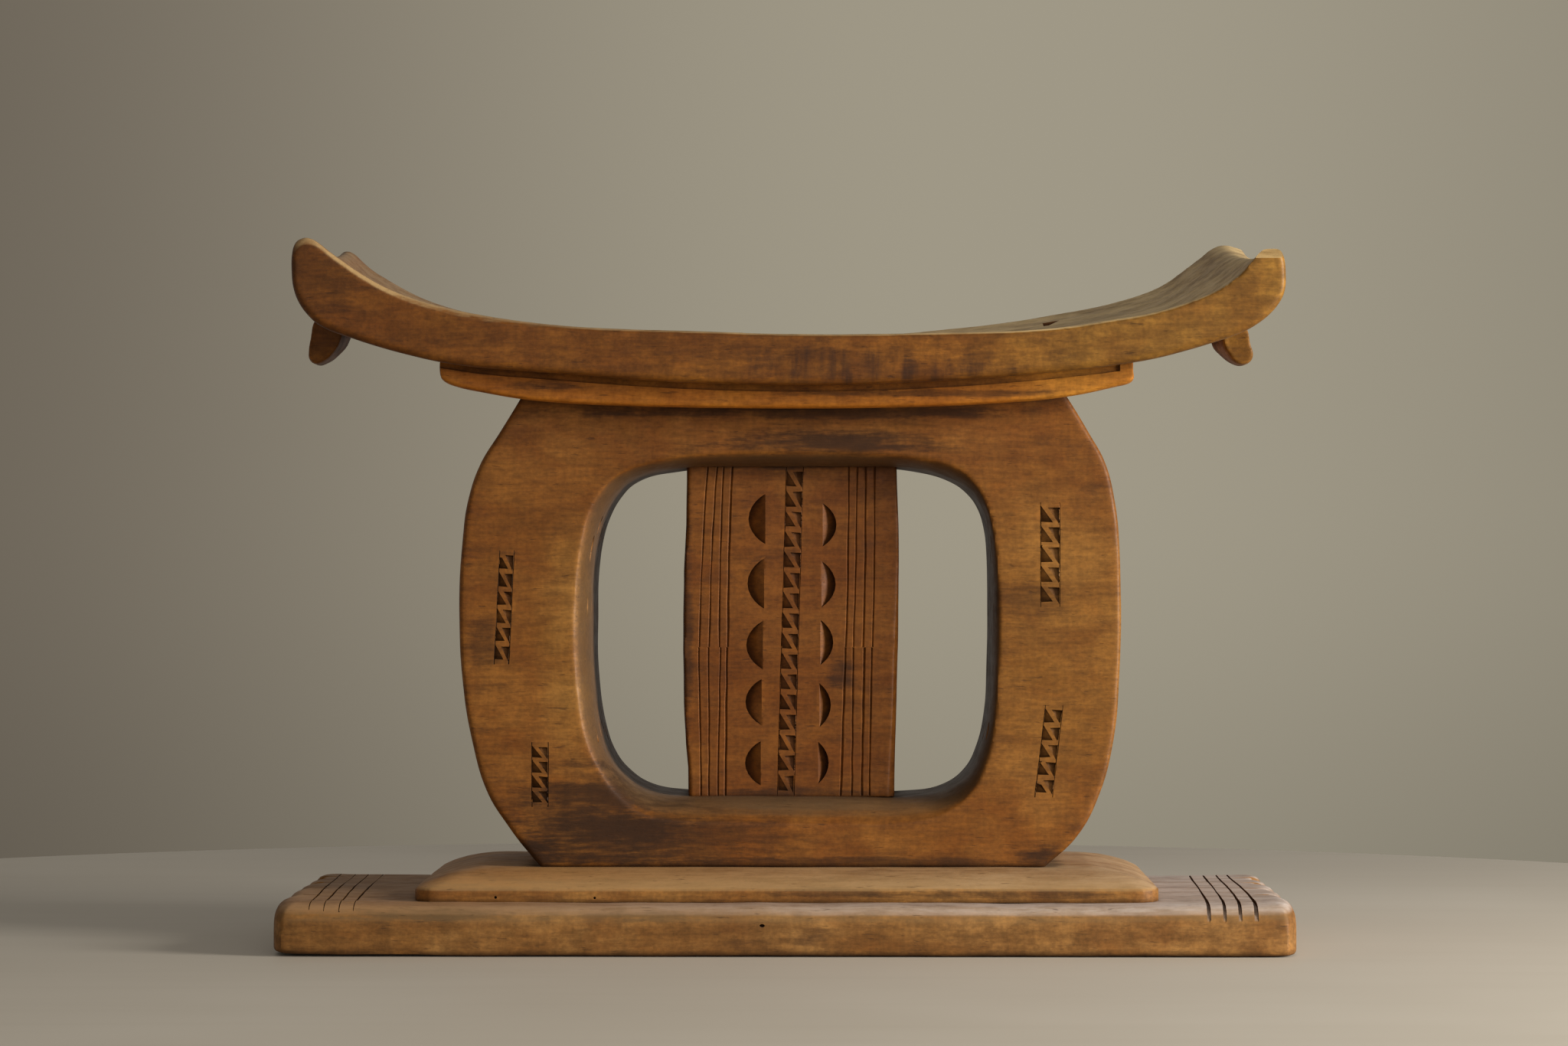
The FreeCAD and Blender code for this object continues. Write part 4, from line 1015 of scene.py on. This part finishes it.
def wood(name, pale, warm, red, dark, dust_and_painted_light, smudges_and_seam_shade, dust_and_light_share, gloss,
         mottled=0.38, ripple=None, inner=None, painted_light_patches=(), rubbed=()):
    """A waxed, handled hardwood. Colours are linear RGB.

    mottled: strength of the small mottling;
    patches: (centre, reach, strength) of dark marks, in metres: rubbed-in smudges, and painted shade along
    the seams between pieces and under the seat; ripple: the same for the cross figure;
    bare: the same for painted light, paler places where light falls or is thrown back up from the table;
    rubbed: the same for shoulders rubbed pale;
    inner: colour of the rough, unwaxed sides of the opening; dust: the grey of faces that look up, at the
    left and at the right; its paler right colour is painted light from the window at the right.
    """
    material = bpy.data.materials.new(name)
    material.use_nodes = True
    tree = material.node_tree
    tree.nodes.clear()
    place = tree.nodes.new("ShaderNodeTexCoord").outputs["Object"]
    grain = inside(tree, GRAIN, {"Place": place})
    patina = inside(tree, PATINA, {"Place": place, "Streaks": grain["Streaks"]})
    wear = inside(tree, WEAR_GRIME_SHADE, {"Place": place})

    def darker(colour, share):
        return tuple(share * part for part in colour) + (1,)

    def shaded(value, low, high, to_low, to_high):
        level = span(tree, value, low, high, to_low, to_high)
        return put(tree, "ShaderNodeCombineColor", {0: level, 1: level, 2: level}).outputs[0]

    colour = blend(tree, patina["Clouds"], (*warm, 1), (*pale, 1))
    colour = blend(tree, times(tree, patina["Red"], 0.6), colour, (*red, 1))
    streak = span(tree, grain["Streaks"], 0.46, 0.66)
    colour = blend(tree, times(tree, streak, 0.4), colour, darker(red, 0.6))
    colour = blend(tree, times(tree, patina["Mottle"], mottled), colour, darker(warm, 0.58))
    colour = blend(tree, 1.0, colour, shaded(grain["Fibres"], 0.34, 0.68, 1.12, 0.86), "MULTIPLY")
    colour = blend(tree, 1.0, colour, shaded(grain["Cross"], 0.34, 0.68, 1.05, 0.94), "MULTIPLY")
    colour = blend(tree, 1.0, colour, shaded(patina["Speckle"], 0.36, 0.66, 1.1, 0.88), "MULTIPLY")
    broken = maths(tree, "ADD", span(tree, grain["Streaks"], 0.36, 0.66, 0.0, 0.55),
                   span(tree, grain["Fibres"], 0.36, 0.66, 0.0, 0.3))
    broken = maths(tree, "ADD", broken, times(tree, patina["Mottle"], 0.25))

    def patch(mark, breaks):
        centre, reach, strength = mark
        values = {"Place": place, "Centre": centre, "Stretch": reach, "Break": breaks}
        return times(tree, inside(tree, PATCH, values)["Patch"], strength)

    # Painted light: paler and greener where light falls or is thrown back up from the table
    for mark in painted_light_patches:
        colour = blend(tree, patch(mark, 0.5), colour, PAINTED_LIGHT_TINT, "MULTIPLY")
    if ripple:
        bars = times(tree, span(tree, grain["Ripple"], 0.42, 0.7), patch(ripple, broken))
        colour = blend(tree, bars, colour, (*dark, 1))
    colour = blend(tree, times(tree, patina["Smudge"], 0.45), colour, (*dark, 1))
    if inner:
        side = inside(tree, INNER, {"Place": place})["Inner"]
        colour = blend(tree, times(tree, side, 0.8), colour, (*inner, 1))
    # Dark marks: smudges, and painted shade along the seams between pieces and under the seat
    for mark in smudges_and_seam_shade:
        colour = blend(tree, patch(mark, broken), colour, darker(dark, 0.6))
    # Grey of faces that look up, with painted light: paler towards the right, where the window light falls
    streaky = maths(tree, "SUBTRACT", 1.15, times(tree, broken, 0.75), True)
    dust_and_top_light = times(tree, times(tree, wear["Upward"], dust_and_light_share), streaky)
    sideways = put(tree, "ShaderNodeSeparateXYZ", {0: place}).outputs["X"]
    dust_and_light_here = blend(tree, span(tree, sideways, -0.2, 0.18), (*dust_and_painted_light[0], 1), (*dust_and_painted_light[1], 1))
    colour = blend(tree, dust_and_top_light, colour, dust_and_light_here)
    for mark in rubbed:
        worn = times(tree, patch(mark, broken), wear["Shoulder"])
        colour = blend(tree, worn, colour, RUBBED_PALE)
    colour = blend(tree, times(tree, grain["Dashes"], 0.5), colour, darker(dark, 0.8))
    # Grime and painted shade: darker in hollows, grooves and the seams between pieces
    colour = blend(tree, times(tree, wear["Grime And Shade"], 0.6), colour, darker(dark, 0.5))
    colour = blend(tree, times(tree, wear["Edges"], 0.4), colour, darker(pale, 1.5))

    rough = maths(tree, "ADD", times(tree, patina["Mottle"], 0.14), gloss)
    rough = maths(tree, "ADD", rough, times(tree, wear["Grime And Shade"], 0.2), True)
    relief = maths(tree, "ADD", times(tree, grain["Fibres"], 0.55), times(tree, patina["Speckle"], 0.5))
    relief = maths(tree, "SUBTRACT", relief, times(tree, grain["Dashes"], 0.5))
    bump = put(tree, "ShaderNodeBump", {"Height": relief, "Strength": 0.3, "Distance": 0.0005})
    shader = put(tree, "ShaderNodeBsdfPrincipled", {"Base Color": colour, "Roughness": rough,
                                                    "Normal": bump.outputs[0], "Specular IOR Level": 0.22})
    put(tree, "ShaderNodeOutputMaterial", {"Surface": shader.outputs[0]})
    return material


def dress(piece, material):
    piece.data.materials.clear()
    piece.data.materials.append(material)


SEAT_WOOD = wood(
    "seat wood", pale=(0.25, 0.09, 0.01), warm=(0.142, 0.044, 0.0045), red=(0.122, 0.034, 0.003),
    dark=(0.032, 0.012, 0.005), dust_and_painted_light=((0.31, 0.2, 0.1), (0.8, 0.58, 0.28)), dust_and_light_share=0.85,
    gloss=0.44, mottled=0.62,
    ripple=((0.05, -0.11, 0.286), (0.13, 0.04, 0.017), 0.8),
    smudges_and_seam_shade=[((-0.235, -0.11, 0.33), (0.05, 0.05, 0.05), 0.3)],
    # painted light on the lit right end and the rim of light thrown up from the table
    painted_light_patches=[((0.21, -0.09, 0.315), (0.19, 0.24, 0.12), 1.0)],
    rubbed=[((-0.19, -0.11, 0.335), (0.13, 0.02, 0.05), 0.9)],
)
# The seat's wood made about two to two and a half times as bright: painted light thrown up from the table
# onto the ledge
LEDGE_WOOD_PAINTED_LIGHT = wood(
    "ledge wood, painted light from below", pale=(0.47, 0.165, 0.016), warm=(0.36, 0.113, 0.009), red=(0.3, 0.085, 0.006),
    dark=(0.032, 0.012, 0.005), dust_and_painted_light=((0.3, 0.2, 0.1), (0.4, 0.3, 0.18)), dust_and_light_share=0.5, gloss=0.44,
    smudges_and_seam_shade=[
        # smudges together with painted shade in the set-back band under the seat
        ((-0.12, -0.09, 0.2775), (0.035, 0.03, 0.004), 0.6),
        ((0.06, -0.09, 0.2735), (0.12, 0.03, 0.003), 0.6),
    ],
    # painted light thrown up from the table onto the ledge
    painted_light_patches=[((0.16, -0.09, 0.275), (0.08, 0.1, 0.03), 0.4)],
)
RING_WOOD = wood(
    "ring wood", pale=(0.26, 0.1, 0.016), warm=(0.187, 0.064, 0.0075), red=(0.15, 0.042, 0.004),
    dark=(0.04, 0.016, 0.006), dust_and_painted_light=((0.13, 0.075, 0.035), (0.19, 0.12, 0.06)), dust_and_light_share=0.5,
    gloss=0.45, inner=(0.075, 0.045, 0.023),
    smudges_and_seam_shade=[
        ((-0.088, -0.06, 0.066), (0.072, 0.05, 0.04), 0.8),
        ((0.018, -0.06, 0.25), (0.1, 0.05, 0.01), 0.8),
        ((-0.125, -0.06, 0.046), (0.022, 0.05, 0.016), 0.85),
        ((0.13, -0.06, 0.043), (0.026, 0.05, 0.012), 0.85),
        # painted shade: the seam under the ledge
        ((0.0, -0.06, 0.2655), (0.2, 0.05, 0.006), 0.7),
        ((-0.15, -0.06, 0.15), (0.014, 0.05, 0.022), 0.5),
        ((0.12, -0.06, 0.17), (0.04, 0.05, 0.016), 0.35),
        # painted shade: the seam on the plinth
        ((0.02, -0.06, 0.042), (0.16, 0.05, 0.005), 0.6),
        ((-0.07, -0.06, 0.055), (0.12, 0.05, 0.022), 0.45),
    ],
    painted_light_patches=[
        # painted light: the right column, and the left edge of the opening, lit from the right
        ((0.135, -0.06, 0.15), (0.09, 0.09, 0.14), 0.3),
        ((-0.105, -0.06, 0.15), (0.03, 0.09, 0.1), 0.4),
    ],
)
PANEL_WOOD = wood(
    "panel wood", pale=(0.21, 0.073, 0.01), warm=(0.155, 0.047, 0.005), red=(0.13, 0.034, 0.003),
    dark=(0.035, 0.014, 0.006), dust_and_painted_light=((0.17, 0.1, 0.045), (0.17, 0.1, 0.045)), dust_and_light_share=0.4,
    gloss=0.46,
    smudges_and_seam_shade=[
        ((0.028, -0.035, 0.135), (0.012, 0.03, 0.012), 0.7),
        ((-0.05, -0.035, 0.16), (0.006, 0.05, 0.1), 0.6),
        # painted shade at the seams where the panel meets the ring, bottom and top
        ((0.0, -0.035, 0.076), (0.06, 0.03, 0.004), 0.6),
        ((0.0, -0.035, 0.24), (0.06, 0.03, 0.005), 0.6),
    ],
)
PLANK_WOOD = wood(
    "plank wood", pale=(0.35, 0.172, 0.048), warm=(0.2, 0.083, 0.017), red=(0.165, 0.056, 0.008),
    dark=(0.05, 0.023, 0.01), dust_and_painted_light=((0.34, 0.19, 0.09), (0.58, 0.5, 0.45)), dust_and_light_share=0.9,
    gloss=0.55, mottled=0.7,
    smudges_and_seam_shade=[
        ((-0.17, -0.11, 0.021), (0.06, 0.03, 0.006), 0.7),
        ((0.1, -0.095, 0.029), (0.09, 0.03, 0.004), 0.6),
        ((0.02, -0.095, 0.03), (0.05, 0.03, 0.004), 0.5),
        ((-0.08, -0.11, 0.019), (0.06, 0.03, 0.005), 0.45),
    ],
    rubbed=[((0.0, -0.11, 0.022), (0.6, 0.04, 0.02), 0.2)],
)
PLINTH_WOOD = wood(
    "plinth wood", pale=(0.32, 0.15, 0.036), warm=(0.24, 0.096, 0.018), red=(0.185, 0.06, 0.009),
    dark=(0.05, 0.023, 0.01), dust_and_painted_light=((0.43, 0.22, 0.076), (0.5, 0.34, 0.19)), dust_and_light_share=0.8, gloss=0.5,
    smudges_and_seam_shade=[
        ((0.1, -0.095, 0.029), (0.09, 0.03, 0.004), 0.6),
        ((0.02, -0.095, 0.03), (0.05, 0.03, 0.004), 0.5),
    ],
    rubbed=[((0.0, -0.095, 0.032), (0.5, 0.04, 0.012), 0.4)],
)


# Table, light and camera
TABLE_RADIUS = 0.747
TABLE_THICKNESS = 0.03
TABLE_MIDDLE = (-0.031, 0.055)
TABLE_TONES = ((0.52, 0.465, 0.385, 1), (0.56, 0.505, 0.425, 1))
TABLE_GRAIN = (0.42, 0.365, 0.285, 1)
# The backdrop's colours at the left and the right: painted light, lighter where the window light falls
BACKDROP_SHADED_LEFT = (0.147, 0.125, 0.096, 1)
BACKDROP_LIT_RIGHT = (0.348, 0.314, 0.24, 1)
# The room's light on the stool, whatever the camera sees behind it
ROOM_GLOW = (0.24, 0.23, 0.21, 1)
CAMERA_PLACE = (0.025, -2.44, 0.198)
CAMERA_AIM = (0.0, -0.115, 0.210)
CAMERA_LENS = 110.36


def make_table():
    """The round table top that the stool stands on, with a soft edge."""
    bpy.ops.object.select_all(action="DESELECT")
    bpy.ops.mesh.primitive_cylinder_add(vertices=180, radius=TABLE_RADIUS, depth=TABLE_THICKNESS,
                                        location=(*TABLE_MIDDLE, -TABLE_THICKNESS / 2 - 0.0001))
    table = bpy.context.object
    settle(table, "table_top")
    add_modifier(table, "BEVEL", width=0.006, segments=4, limit_method="ANGLE")
    bpy.ops.object.shade_smooth_by_angle(angle=math.radians(35))
    material = bpy.data.materials.new("pale table")
    material.use_nodes = True
    tree = material.node_tree
    tree.nodes.clear()
    place = tree.nodes.new("ShaderNodeTexCoord").outputs["Object"]
    long_grain = noise(tree, stretched(tree, place, (2.0, 30.0, 30.0)), 1.0, 4.0, 0.6)
    soft = noise(tree, stretched(tree, place, (3.0, 3.0, 3.0)), 1.0, 3.0, 0.5)
    colour = blend(tree, span(tree, soft, 0.3, 0.7), *TABLE_TONES)
    faint = times(tree, span(tree, long_grain, 0.45, 0.7), 0.1)
    colour = blend(tree, faint, colour, TABLE_GRAIN)
    shader = put(tree, "ShaderNodeBsdfPrincipled", {"Base Color": colour, "Roughness": 0.62})
    put(tree, "ShaderNodeOutputMaterial", {"Surface": shader.outputs[0]})
    table.data.materials.append(material)


def make_light():
    """A wide soft window far to the right, a weak lamp in front, and a dim room whose backdrop, as the
    camera sees it, is painted with light and shade.
    """
    def lamp(name, place, aim, size, power, colour):
        bpy.ops.object.light_add(type="AREA", location=place)
        light = bpy.context.object
        light.name = name
        light.data.shape = "RECTANGLE"
        light.data.size, light.data.size_y = size
        light.data.energy = power
        light.data.color = colour
        way = Vector(aim) - Vector(place)
        light.rotation_euler = way.to_track_quat("-Z", "Y").to_euler()

    lamp("window light", (2.15, -0.97, 0.6), (0.0, 0.0, 0.19), (0.9, 0.9), 88.0, (1.0, 0.965, 0.9))
    lamp("front fill", (0.5, -3.4, 1.2), (0.0, 0.0, 0.18), (2.4, 1.8), 18.0, (1.0, 0.96, 0.9))

    world = bpy.data.worlds.new("room")
    bpy.context.scene.world = world
    world.use_nodes = True
    tree = world.node_tree
    tree.nodes.clear()
    way = put(tree, "ShaderNodeSeparateXYZ", {0: tree.nodes.new("ShaderNodeTexCoord").outputs["Generated"]})
    # Painted light on the backdrop that the camera sees: lighter to the right, and darker at the left,
    # towards the bottom and at the far right edge
    across = span(tree, way.outputs["X"], -0.21, 0.03)
    wall = blend(tree, across, BACKDROP_SHADED_LEFT, BACKDROP_LIT_RIGHT)
    backdrop_painted_shade = times(tree, span(tree, way.outputs["X"], 0.05, 0.2, 1.0, 0.8),
                   span(tree, way.outputs["Z"], -0.09, 0.015, 0.78, 1.0))
    dim = put(tree, "ShaderNodeCombineColor", {0: backdrop_painted_shade, 1: backdrop_painted_shade, 2: backdrop_painted_shade}).outputs[0]
    wall = blend(tree, 1.0, wall, dim, "MULTIPLY")
    seen = tree.nodes.new("ShaderNodeLightPath")
    share = maths(tree, "MAXIMUM", seen.outputs["Is Camera Ray"], seen.outputs["Is Transmission Ray"])
    colour = blend(tree, share, ROOM_GLOW, wall)
    shader = put(tree, "ShaderNodeBackground", {"Color": colour, "Strength": 1.0})
    put(tree, "ShaderNodeOutputWorld", {"Surface": shader.outputs[0]})


def make_camera():
    """The photograph's own view, from straight in front and just above the middle."""
    bpy.ops.object.camera_add(location=CAMERA_PLACE)
    camera = bpy.context.object
    way = Vector(CAMERA_AIM) - camera.location
    camera.rotation_euler = way.to_track_quat("-Z", "Y").to_euler()
    camera.data.sensor_width = 36.0
    camera.data.lens = CAMERA_LENS
    camera.data.clip_end = 30.0
    bpy.context.scene.camera = camera
    bpy.context.scene.view_settings.view_transform = "Standard"


make_seat()
make_ledge()
make_lug("left_lug_wood", "left_lug", LEFT_LUG, 7)
make_lug("right_lug_wood", "right_lug", RIGHT_LUG, 8)
make_ring()
make_panel()
make_plinth()
make_plank()

make_table()
make_light()
make_camera()
